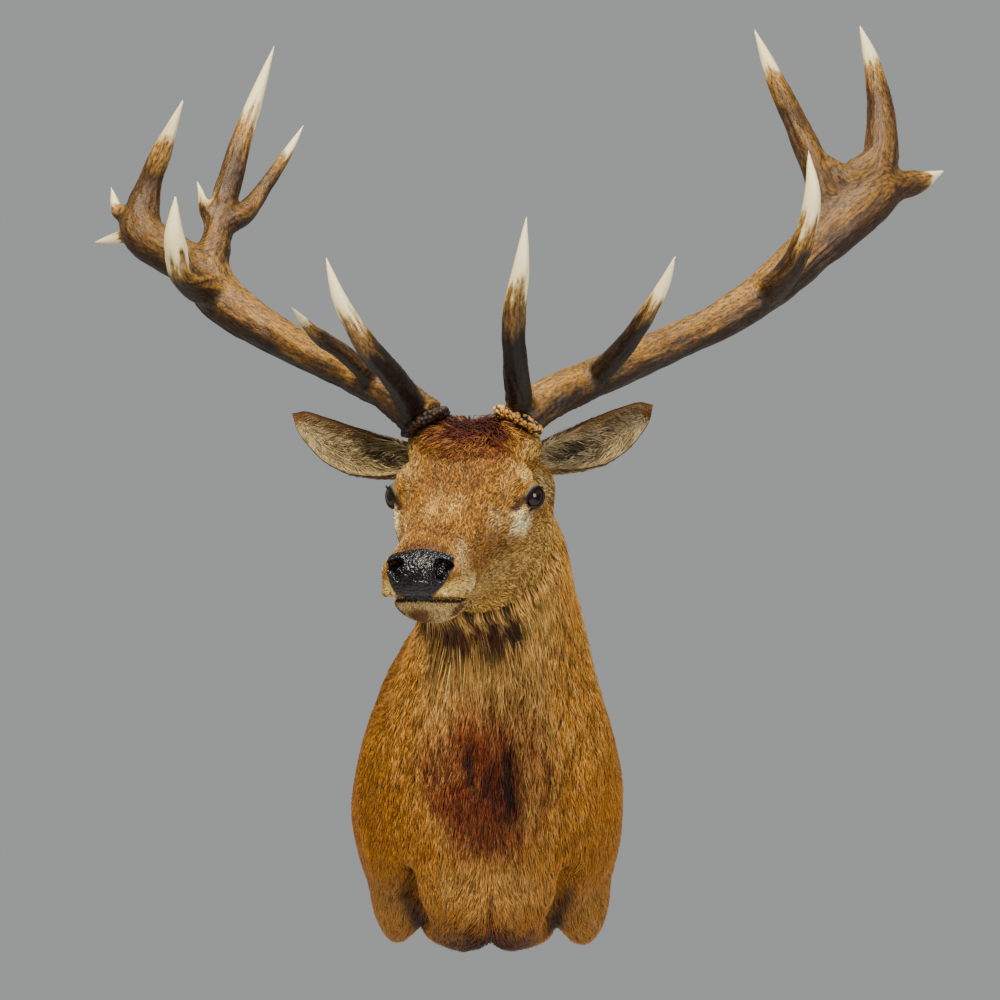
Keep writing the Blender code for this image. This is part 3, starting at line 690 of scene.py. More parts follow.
@dataclass(frozen=True)
class BodyForm:
    """The outer form of trunk, neck and head, to the tips of the coat."""

    head: HeadFrame = HEAD
    trunk: tuple[Station, ...] = (
        Station((-0.0183, 0.232), (-0.0183, -0.252), 0.203, 0.37, 1.9, 2.5, 0.000),
        Station((-0.075, 0.243), (-0.115, -0.280), 0.208, 0.38, 1.8, 2.2, 0.000),
        Station((-0.130, 0.262), (-0.225, -0.283), 0.204, 0.39, 1.7, 2.0, 0.001),
        Station((-0.180, 0.288), (-0.325, -0.230), 0.196, 0.40, 1.6, 1.9, 0.003),
        Station((-0.225, 0.318), (-0.385, -0.130), 0.174, 0.40, 1.4, 1.9, 0.009),
        Station((-0.265, 0.350), (-0.415, -0.015), 0.144, 0.37, 1.6, 2.0, 0.017),
        Station((-0.300, 0.382), (-0.432, 0.090), 0.116, 0.45, 1.8, 2.1, 0.019),
        Station((-0.332, 0.412), (-0.447, 0.170), 0.106, 0.50, 2.0, 2.1, 0.014),
        Station((-0.362, 0.433), (-0.458, 0.210), 0.104, 0.50, 2.0, 2.1, 0.002),
    )
    face: tuple[Station, ...] = (
        Station((-0.165, -0.002), (-0.022, -0.182), 0.104, 0.50, 2.0, 2.1),
        Station((-0.150, 0.036), (-0.008, -0.172), 0.104, 0.54, 2.0, 2.0),
        Station((-0.112, 0.076), (0.008, -0.160), 0.096, 0.60, 2.1, 1.9),
        Station((-0.064, 0.077), (0.026, -0.147), 0.094, 0.62, 2.2, 1.9),
        Station((-0.014, 0.058), (0.045, -0.133), 0.095, 0.66, 2.2, 1.85),
        Station((0.035, 0.045), (0.070, -0.122), 0.082, 0.64, 2.2, 1.9),
        Station((0.080, 0.038), (0.100, -0.110), 0.066, 0.59, 2.2, 2.0),
        Station((0.125, 0.031), (0.132, -0.099), 0.056, 0.54, 2.2, 2.1),
        Station((0.170, 0.026), (0.166, -0.091), 0.054, 0.50, 2.3, 2.2),
        Station((0.210, 0.024), (0.197, -0.089), 0.056, 0.49, 2.3, 2.3),
        Station((0.240, 0.0205), (0.224, -0.089), 0.056, 0.50, 2.4, 2.3),
        Station((0.259, 0.013), (0.246, -0.080), 0.050, 0.54, 2.5, 2.2),
        Station((0.270, 0.002), (0.260, -0.058), 0.038, 0.54, 2.3, 2.2),
        Station((0.275, -0.010), (0.270, -0.034), 0.019, 0.50, 2.0, 2.0),
    )
    swells: tuple[Swell, ...] = (
        Swell((-0.004, 0.084, 0.024), 0.026, 0.0080),  # brow over the eye
        Swell((0.030, 0.074, -0.026), 0.030, 0.0040),  # cheek bone
        Swell((-0.048, 0.088, 0.012), 0.030, -0.0060),  # temple
        Swell((0.040, 0.062, 0.004), 0.018, -0.0040),  # tear pit
        Swell((0.115, 0.050, -0.034), 0.036, -0.0045),  # hollow of the cheek
        Swell((-0.006, 0.066, -0.086), 0.045, 0.0060),  # jaw muscle
        Swell((-0.082, 0.062, 0.052), 0.034, 0.0240),  # pedicle
        Swell((-0.128, 0.092, -0.024), 0.030, 0.0120),  # butt of the ear
        Swell((0.250, 0.036, 0.002), 0.016, 0.0050),  # wing of the nostril
        Swell((0.225, 0.044, -0.030), 0.024, 0.0030),  # upper lip
    )
    mouth_along: tuple[float, ...] = (0.178, 0.200, 0.229, 0.240, 0.250, 0.260, 0.270)
    mouth_up: tuple[float, ...] = (-0.060, -0.058, -0.0535, -0.0500, -0.0460, -0.0415, -0.0380)
    jaw_narrower: float = 0.92
    jaw_shorter: float = 0.006

    def table(self) -> Array:
        """One row a station: crest, base, sideways vector, and the shape's numbers."""
        rows = [
            ((s.sway, *s.crest), (s.sway, *s.base), (1.0, 0.0, 0.0), s[2:6])
            for s in self.trunk
        ]
        for s in self.face:
            crest = self.head.to_world((s.crest[0], 0.0, s.crest[1]))
            base = self.head.to_world((s.base[0], 0.0, s.base[1]))
            rows.append((crest, base, self.head.axes()[1], s[2:6]))
        return np.array([np.concatenate(r) for r in rows])

    def surface(self, at: Array, angle: Array) -> Array:
        """Points of the form.

        A section is a superellipse: sideways it goes with the sine of the angle, and
        up and down with the cosine, each raised to 2 over the section's power.

        Args:
            at: station numbers, which may be fractions, one for each row.
            angle: angles from the crest towards +X, one for each column.

        Returns:
            Places, rows by columns by three.
        """
        rows = curve_through(self.table(), at)
        crest, base, sideways = rows[:, 0:3], rows[:, 3:6], unit(rows[:, 6:9])
        half_width, widest, top_power, low_power = rows[:, 9:13].T[:, :, None]
        height = np.linalg.norm(crest - base, axis=1)[:, None]
        up = (crest - base) / height
        centre = base + up * (widest * height)
        sine, cosine = np.sin(angle)[None, :], np.cos(angle)[None, :]
        power = np.where(cosine >= 0, top_power, low_power)
        reach = np.where(cosine >= 0, 1 - widest, widest) * height
        across = half_width * np.sign(sine) * np.abs(sine) ** (2 / power)
        rise = reach * np.sign(cosine) * np.abs(cosine) ** (2 / power)
        spread = across[..., None] * sideways[:, None] + rise[..., None] * up[:, None]
        return self.with_swells(centre[:, None, :] + spread, unit(spread))

    def with_swells(self, points: Array, outward: Array) -> Array:
        """Adds the swells, and sets the lower jaw back from the upper lip.

        Each swell is (1 - d²)², d the distance over 1.6 reaches.

        Args:
            points: of the form.
            outward: unit vectors out of it.

        Returns:
            The new places.
        """
        local = self.head.to_local(points)
        for swell in self.swells:
            for side in (1.0, -1.0):
                away = np.linalg.norm(local - on_side(swell.place, side), axis=-1)
                far = away / (1.6 * swell.reach)
                bump = np.clip(1.0 - far**2, 0.0, 1.0) ** 2
                points = points + outward * (swell.rise * bump)[..., None]
        along, side, up = np.moveaxis(self.head.to_local(points), -1, 0)
        below = np.clip((self.lip(along) - up) / 0.006 + 0.5, 0.0, 1.0)
        ahead = np.clip((along - self.mouth_along[0]) / 0.03 + 0.5, 0.0, 1.0)
        jaw = below * ahead
        side = side * (1.0 - (1.0 - self.jaw_narrower) * jaw)
        along = along - self.jaw_shorter * jaw
        return self.head.to_world(np.stack((along, side, up), axis=-1))

    def lip(self, along: Array) -> Array:
        """Height of the mouth line at a distance along the face."""
        return np.interp(along, self.mouth_along, self.mouth_up)


# ---------------------------------------------------------------- sheets


@dataclass
class Sheet:
    """A surface kept as a grid of points, with rows along it and columns round it."""

    points: Array
    island: tuple[float, float, float, float] = (0.0, 0.0, 1.0, 1.0)
    along: Array = field(init=False)
    around: Array = field(init=False)
    normal: Array = field(init=False)

    def __post_init__(self) -> None:
        """Measures the grid as it is."""
        self.measure()

    def measure(self) -> None:
        """Slopes by central differences, and the normal as their cross product."""
        self.along = np.gradient(self.points, axis=0)
        ahead, behind = np.roll(self.points, -1, 1), np.roll(self.points, 1, 1)
        self.around = (ahead - behind) / 2
        self.normal = unit(np.cross(self.along, self.around))

    def areas(self) -> Array:
        """Area of the cell that starts at each point, rows less one by columns."""
        edge = np.diff(self.points, axis=0)
        return np.linalg.norm(np.cross(edge, self.around[:-1]), axis=-1)

    def read(self, values: Array, row: Array, column: Array) -> Array:
        """Values of the grid's points, blended at fractional rows and columns."""
        rows, columns = values.shape[:2]
        row = np.clip(row, 0.0, rows - 1.000001)
        r, c = np.floor(row).astype(int), np.floor(column).astype(int)
        tr, tc = row - r, column - c
        c0, c1 = c % columns, (c + 1) % columns
        if values.ndim == 3:
            tr, tc = tr[..., None], tc[..., None]
        low = values[r, c0] * (1 - tc) + values[r, c1] * tc
        high = values[r + 1, c0] * (1 - tc) + values[r + 1, c1] * tc
        return low * (1 - tr) + high * tr

    def place(self, row: Array, column: Array) -> Array:
        """The place at a row and column, carried on straight before the first row."""
        over = np.minimum(row, 0.0)[..., None]
        return self.read(self.points, row, column) + over * self.read(self.along, row, column)

    def steps(self, row: Array, column: Array, way: Array) -> tuple[Array, Array]:
        """Rows and columns to move for one metre along a direction in the surface.

        With slopes A along and B round, the step (a, b) solves A·(aA + bB) = A·way
        and B·(aA + bB) = B·way.

        Args:
            row: where, in rows.
            column: where, in columns.
            way: unit vectors.

        Returns:
            The two steps.
        """
        a, b = self.read(self.along, row, column), self.read(self.around, row, column)
        aa, ab, bb = dot(a, a), dot(a, b), dot(b, b)
        wa, wb = dot(way, a), dot(way, b)
        area = np.maximum(aa * bb - ab * ab, 1e-16)
        return (wa * bb - wb * ab) / area, (wb * aa - wa * ab) / area

    def unwrapped(self, row: Array, column: Array) -> Array:
        """Place on the unwrap of the skin: rows upwards and columns across."""
        u0, v0, width, height = self.island
        rows, columns = self.points.shape[:2]
        u = u0 + width * (np.asarray(column) % columns) / columns
        v = v0 + height * np.clip(np.asarray(row) / (rows - 1), 0.0, 1.0)
        return np.stack((u, v), axis=-1)

    def flat_lie(self) -> Array:
        """Metres round and along the surface at each corner of each face."""
        far = np.linalg.norm(self.around, axis=-1)
        round_by = np.cumsum(np.concatenate((far[:, :1] * 0, far), axis=1), axis=1)
        step = np.linalg.norm(np.diff(self.points, axis=0), axis=-1).mean(axis=1)
        along_by = np.concatenate(([0.0], np.cumsum(step)))[:, None]
        flat = np.stack((round_by, along_by + 0 * round_by), axis=-1)
        corners = (flat[:-1, :-1], flat[1:, :-1], flat[1:, 1:], flat[:-1, 1:])
        return np.stack(corners, axis=2).reshape(-1, 2)


# ---------------------------------------------------------------- eyes


@dataclass(frozen=True)
class EyeForm:
    """A glass eye in its socket: the ball, the way it looks, and the lids' opening."""

    sign: float
    head: HeadFrame = HEAD
    radius: float = 0.0168
    place: Triple = (-0.001, 0.0895, 0.000)
    looks: Triple = (0.62, 0.783, 0.04)
    front_reach: float = 0.0160  # from the middle of the opening towards the nose
    back_reach: float = 0.0142
    up_reach: float = 0.0126
    power: float = 1.8  # of the opening's outline along its length; 2 is an ellipse
    tilt: float = math.radians(24.0)  # front corner lower than the back corner
    lid: float = 0.0019

    def middle(self) -> Array:
        """World place of the ball's middle."""
        return self.head.to_world(on_side(self.place, self.sign))

    def axes(self) -> Array:
        """Rows: towards the nose along the opening, across it upwards, and outwards."""
        out = unit(on_side(self.looks, self.sign))
        ahead = unit(np.array((1.0, 0.0, 0.0)) - out * out[0])
        up = np.cross(out, ahead) * self.sign
        up = up * np.sign(up[2])
        c, s = math.cos(self.tilt), math.sin(self.tilt)
        return self.head.turn(np.array((c * ahead - s * up, s * ahead + c * up, out)))

    def opening(self, ahead: Array, up: Array) -> Array:
        """0 on the lids' edge, -1 in the middle of the opening, above 0 on the lids."""
        reach = np.where(ahead > 0, self.front_reach, self.back_reach)
        return (np.sqrt(np.abs(ahead / reach) ** self.power + (up / self.up_reach) ** 2) - 1)

    def measure(self, points: Array) -> tuple[Array, Array, Array]:
        """Distances ahead, up and outwards from the ball's middle."""
        return tuple(np.moveaxis((points - self.middle()) @ self.axes().T, -1, 0))

    def edge(self, points: Array) -> Array:
        """The opening's measure for points near the eye, and 9 for all others."""
        ahead, up, out = self.measure(points)
        return np.where(np.abs(out) < 0.03, self.opening(ahead, up), 9.0)

    def rim(self, turn: Array) -> Array:
        """Places of the lids' edge on the ball, by the angle from the front corner."""
        c, s = np.cos(turn), np.sin(turn)
        reach = np.where(c > 0, self.front_reach, self.back_reach)
        ahead = reach * np.sign(c) * np.abs(c) ** (2 / self.power)
        up = self.up_reach * s
        seat = self.radius + 0.0007
        out = np.sqrt(np.maximum(seat**2 - ahead**2 - up**2, (0.3 * seat) ** 2))
        return self.middle() + np.stack((ahead, up, out), axis=-1) @ self.axes()


@dataclass
class GlassEye:
    """The ball with its painted iris, the dark edge of the lids, and the lashes."""

    form: EyeForm
    side: str
    segments: int = 64
    rings: int = 40
    turns: int = 112
    sides: int = 10
    upper_line: float = 0.0018
    lower_line: float = 0.0032
    upper_colour: str = "#0b0705"
    lower_colour: str = "#26100a"
    lashes: int = 54
    lash_length: float = 0.0085
    seed: int = 77

    def ball(self) -> None:
        """A sphere: turned grid of rings from pole to pole along the looking axis."""
        polar = np.linspace(0, math.pi, self.rings + 2)[1:-1, None]
        turn = full_turn(self.segments)
        x, y = np.sin(polar) * np.cos(turn), np.sin(polar) * np.sin(turn)
        flat = np.stack((x, y, np.cos(polar) + 0 * turn), axis=-1)
        points, faces = closed_tube(flat, (0, 0, 1), (0, 0, -1))
        world = self.form.middle() + self.form.radius * points @ self.form.axes()
        faces = outwards(world, faces)
        mesh = mesh_from(f"glass_eye_{self.side}", world, faces)
        corner = np.concatenate([f.ravel() for f in faces])
        unwrap(mesh, "Iris", points[corner][:, :2])
        glass, name = GlassFinish().material(), f"glass_eye_{self.side}"
        add_piece(name, mesh, "glass_eye", glass, replaced=[f"eye_{self.side}"])

    def lid_line(self) -> None:
        """A thin tube carried round the lids' edge, thicker below and at the front."""
        turn = full_turn(self.turns)
        path = self.form.rim(turn)
        low = ease(0.2, -0.5, np.sin(turn))
        thick = self.upper_line + (self.lower_line - self.upper_line) * low
        thick = thick + 0.0008 * ease(0.80, 1.0, np.cos(turn))
        out = unit(path - self.form.middle())
        forward = unit(np.roll(path, -1, 0) - np.roll(path, 1, 0))
        side = np.cross(forward, out)
        wheel = full_turn(self.sides)[None, :, None]
        ring = np.cos(wheel) * side[:, None] + 0.75 * np.sin(wheel) * out[:, None]
        points = (path[:, None] + thick[:, None, None] * ring).reshape(-1, 3)
        number = np.arange(len(points)).reshape(self.turns, self.sides)
        ahead, beside = np.roll(number, -1, 0), np.roll(number, -1, 1)
        both = np.roll(ahead, -1, 1)
        faces = np.stack((number, ahead, both, beside), axis=-1).reshape(-1, 4)
        mesh = mesh_from(f"eyelid_line_{self.side}", points, outwards(points, [faces]))
        colour = blend(linear(self.upper_colour), linear(self.lower_colour), low)
        paint(mesh, "Markings", np.repeat(colour, self.sides, axis=0))
        add_piece(f"eyelid_line_{self.side}", mesh, "red_deer_hide", LID.material())

    def lash_row(self) -> None:
        """Lashes from the upper lid: each leaves outwards and bends up and apart."""
        random = np.random.default_rng(self.seed)
        turn = np.linspace(0.10, 0.93, self.lashes) * math.pi
        turn = turn + 0.02 * random.standard_normal(self.lashes)
        root = self.form.rim(turn)
        ahead, up, out = self.form.axes()
        spread = 0.75 * np.cos(turn) + 0.16 * random.standard_normal(self.lashes)
        far = self.lash_length * (0.6 + 0.5 * random.random(self.lashes))
        far = (far * (0.55 + 0.45 * np.sin(turn)))[:, None]
        leave = 0.80 * out + 0.45 * up + 0.45 * spread[:, None] * ahead
        bend = 0.25 * out + 0.90 * up + 0.80 * spread[:, None] * ahead
        line = [root, root + far * 0.5 * leave, root + far * (0.5 * leave + 0.5 * bend)]
        colour = np.tile(linear(self.upper_colour), (self.lashes, 1))
        flat = np.stack((turn / math.pi * 0.1 + 0.45, 0 * turn + 0.5), axis=-1)
        width = np.full(self.lashes, 0.0007)
        mesh = spikes(f"eyelashes_{self.side}", line, [out] * 3, width, colour, flat)
        add_piece(f"eyelashes_{self.side}", mesh, "red_deer_hide", HAIR.material())

    def build(self) -> None:
        """The ball, the lid line and the lashes."""
        self.ball()
        self.lid_line()
        self.lash_row()


# ---------------------------------------------------------------- markings


class Marking(NamedTuple):
    """A patch of one colour: an egg, or a band between two places, in millimetres."""

    colour: str
    place: Triple
    reach: Triple
    strength: float = 0.9
    soft: float = 0.5  # share of the reach over which the edge fades
    torn: float = 0.15  # how far the edge wanders, in reaches
    end: Triple | None = None


@dataclass(frozen=True)
class Markings:
    """The stag's colours, the same for the skin and for each tuft."""

    form: BodyForm = field(default_factory=BodyForm)
    flank: str = "#b07016"
    shoulder: str = "#9a6018"
    neck_side: str = "#cc8e30"
    neck_front: str = "#d8a450"
    face: str = "#9e6a1c"
    jaw: str = "#c2933e"
    nose: str = "#080706"
    lip: str = "#140c08"
    body_patches: tuple[Marking, ...] = (
        Marking("#a8682c", (-6, -430, 64), (94, 100, 60), 0.75, 0.9, 0.3, (-6, -420, -20)),
        Marking("#8a4a1a", (2, -400, -55), (64, 100, 56), 0.88, 0.7, 0.22, (4, -380, -80)),
        Marking("#86340c", (-6, -430, 37), (84, 100, 48), 0.88, 0.7, 0.3, (-4, -420, -30)),
        Marking("#76340e", (4, -400, -45), (54, 100, 42), 0.85, 0.7, 0.25, (6, -380, -70)),
        Marking("#4e1c08", (18, -430, 18), (48, 100, 34), 0.6, 0.9, 0.3, (20, -410, -35)),
        Marking("#1c0903", (-24, -420, 30), (9, 100, 20), 0.85, 0.9, 0.35, (-22, -420, 0)),
        Marking("#160702", (31, -420, 26), (9, 100, 20), 0.9, 0.9, 0.35, (33, -420, -35)),
        # dark mane hair under the jaw, with painted shade from the jaw in it
        Marking("#2e1206", (-76, -420, 214), (24, 80, 26), 0.96, 0.7, 0.5, (-36, -430, 210)),
        Marking("#2e1206", (4, -450, 212), (20, 80, 24), 0.96, 0.7, 0.5, (38, -450, 218)),
        Marking("#5a2408", (-40, -440, 214), (18, 80, 7), 0.8, 0.8, 0.4, (6, -450, 213)),
        Marking("#ce9745", (5, -360, -165), (96, 100, 50), 0.85, 0.6, 0.25),
        Marking("#6a3412", (5, -345, -180), (7, 100, 20), 0.75, 0.9, 0.3, (5, -300, -250)),
        Marking("#4d1d04", (5, -270, -262), (95, 120, 44), 0.9, 0.6, 0.3),
        # painted shade on the underside of the brisket
        Marking("#180803", (3, -290, -262), (34, 100, 20), 0.92, 0.9, 0.3),
        # painted highlight down the front of each foreleg stump
        Marking("#a87a36", (145, -190, -205), (40, 120, 70), 0.7, 0.8, 0.3),
        Marking("#a87a36", (-136, -190, -205), (40, 120, 70), 0.7, 0.8, 0.3),
        # painted shade in the deep folds between the foreleg stumps and the brisket
        Marking("#1e0e06", (117, -200, -170), (15, 120, 26), 0.92, 0.8, 0.2, (99, -200, -240)),
        Marking("#1e0e06", (-115, -200, -170), (15, 120, 26), 0.92, 0.8, 0.2, (-100, -200, -240)),
    )
    head_patches: tuple[Marking, ...] = (
        Marking("#8a5a22", (10, 0, 52), (50, 60, 26), 0.6, 0.9, 0.5),
        Marking("#7e4c1a", (40, 20, 40), (30, 24, 20), 0.5, 1, 0.5),
        Marking("#dcac5c", (120, 14, 30), (50, 14, 14), 0.6, 1, 0.4),
        Marking("#d8b070", (85, 56, -6), (26, 20, 16), 0.6, 1, 0.4),
        Marking("#7e5424", (88, 62, -38), (40, 30, 18), 0.5, 1, 0.4),
        Marking("#94885c", (90, 56, -80), (60, 30, 20), 0.35, 1, 0.3),
        Marking("#6b401a", (236, 0, 19), (14, 40, 12), 0.88, 0.7, 0.15),
        Marking("#dcbc82", (196, 46, 10), (20, 16, 14), 0.6, 1, 0.2, (236, 52, 0)),
        Marking("#e8c46c", (246, 52, -26), (30, 20, 15), 0.7, 0.9, 0.25),
        Marking("#dcc07c", (226, 54, -30), (24, 20, 12), 0.8, 0.9, 0.2),
        Marking("#c89c58", (-14, 66, 46), (13, 13, 10), 0.5, 1, 0.35, (36, 68, 26)),
        Marking("#dcb868", (-8, 84, 32), (22, 14, 12), 0.75, 1, 0.3),
        # painted highlight: a golden sheen on the hair towards the base of the ear
        Marking("#dcb860", (-58, 86, 46), (34, 20, 14), 0.65, 1, 0.35),
        Marking("#7a5422", (50, 64, 20), (18, 12, 7), 0.6, 1, 0.3),
        Marking("#fae2a4", (44, 83, -22), (24, 30, 21), 0.95, 0.8, 0.25),
        Marking("#d4b67c", (14, 94, -30), (22, 30, 18), 0.7, 0.9, 0.25),
        Marking("#b0a060", (-70, 98, -14), (36, 30, 26), 0.75, 1, 0.3),
        # painted shade in the groove of the tear pit
        Marking("#3a200c", (18, 89, 4.5), (6, 12, 5), 0.92, 0.8, 0.1, (46, 77.5, -0.5)),
        Marking("#98581e", (-46, 0, 70), (70, 74, 36), 0.85, 0.8, 0.5),
        Marking("#641f04", (-62, 0, 74), (58, 70, 34), 0.92, 0.6, 0.45),
        Marking("#3a1203", (-78, 0, 80), (40, 60, 26), 0.85, 0.8, 0.6),
        Marking("#c4aa6c", (242, 0, -66), (46, 60, 24), 0.9, 0.4, 0.15),
        Marking("#e8c46c", (262, 36, -28), (22, 22, 12), 0.8, 0.8, 0.2),
        Marking("#643402", (236, 38, -66), (13, 13, 14), 0.95, 0.4, 0.1),
        Marking("#4d3416", (-40, 75, -170), (14, 20, 12), 0.6, 1, 0.15),
    )
    own_patches: tuple[Marking, ...] = (
        # painted shade along the crease pressed into the face
        Marking("#5a3010", (98, -30, 28), (3.6, 4, 3.6), 0.8, 0.8, 0.2, (111.6, -46.2, 12.1)),
        Marking("#5a3010", (111.6, -46.2, 12.1), (3.6, 4, 3.6), 0.8, 0.8, 0.2, (150, -55, -5)),
        Marking("#6c3a02", (246, -8, -70), (30, 20, 18), 1, 0.6, 0.25),
        Marking("#d8b474", (20, 9, -150), (6, 6, 3.5), 0.8, 0.8, 0.1, (-24, -30, -190)),
        Marking("#160a04", (32.5, 10, -140), (4, 4, 3), 0.95, 0.4, 0.05),
    )

    def pad(self, local: Array) -> Array:
        """1 on the bare nose: in front of its top edge and within its own width."""
        along, side, up = np.moveaxis(local, -1, 0)
        heights = (-0.040, -0.034, -0.026, -0.017, -0.001, 0.010, 0.018)
        left = np.interp(up, heights, (0.010, 0.014, 0.022, 0.031, 0.0415, 0.0425, 0.036))
        right = np.interp(up, heights, (0.024, 0.029, 0.034, 0.038, 0.0420, 0.0425, 0.036))
        width = np.where(side > 0, left, right)
        side = np.abs(side)
        inside = ease(0.0015, -0.0015, side - width)
        front = ease(0.2425, 0.2455, along + 0.12 * (0.02 - side).clip(-0.02, 0.02))
        return inside * front * ease(-0.0440, -0.0420, up)

    def colour(self, points: Array, at: Array) -> Array:
        """Linear colour at places of the coat.

        The base colour runs from the flank through the neck to the face by station
        number, and each patch is blended over it where its egg distance, moved by
        ragged noise, is under 1.

        Args:
            points: world places.
            at: their station numbers.

        Returns:
            Linear RGB.
        """
        local = self.form.head.to_local(points)
        mirrored = np.stack((local[..., 0], np.abs(local[..., 1]), local[..., 2]), -1)
        hanging = points * (1.0, 1.0, 0.20)
        small = 0.7 * ragged(points, 0.006, 6)
        wander = ragged(hanging, 0.009, 5) + small
        round_ones = ragged(points, 0.013, 5) + small
        x, y, z = np.moveaxis(points, -1, 0)
        front = ease(-0.30, -0.43, y) * ease(0.12, 0.06, np.abs(x))
        flank = blend(linear(self.shoulder), linear(self.flank), ease(0.28, 0.02, z))
        neck = blend(linear(self.neck_side), linear(self.neck_front), front)
        colour = blend(flank, neck, ease(3.4, 5.6, at + 0.4 * wander))
        under = ease(-0.030, -0.070, local[..., 2])
        face = blend(linear(self.face), linear(self.jaw), under)
        colour = blend(colour, face, ease(9.3, 10.6, at + 0.3 * wander))
        sides = (
            (self.body_patches, points, ease(10.4, 9.6, at), wander),
            (self.head_patches, mirrored, ease(9.6, 10.4, at), round_ones),
            (self.own_patches, local, ease(9.6, 10.4, at), round_ones),
        )
        for patches, spots, share, noise in sides:
            for mark in patches:
                far = in_egg(spots * 1000, mark.place, mark.reach, mark.end)
                far = far + mark.torn * noise
                there = ease(1.0 + mark.soft / 2, 1.0 - mark.soft, far)
                there = there * mark.strength * share
                colour = over(colour, mark.colour, there)
        return colour

    def bare(self, points: Array, colour: Array) -> Array:
        """Puts the nose and the lips over a colour."""
        local = self.form.head.to_local(points)
        along, side, up = np.moveaxis(local, -1, 0)
        lip = ease(0.0044, 0.0026, np.abs(up - self.form.lip(along)))
        lip = lip * ease(0.176, 0.190, along)
        colour = over(colour, self.lip, lip)
        return blend(colour, linear(self.nose), self.pad(local))


# ---------------------------------------------------------------- the skin


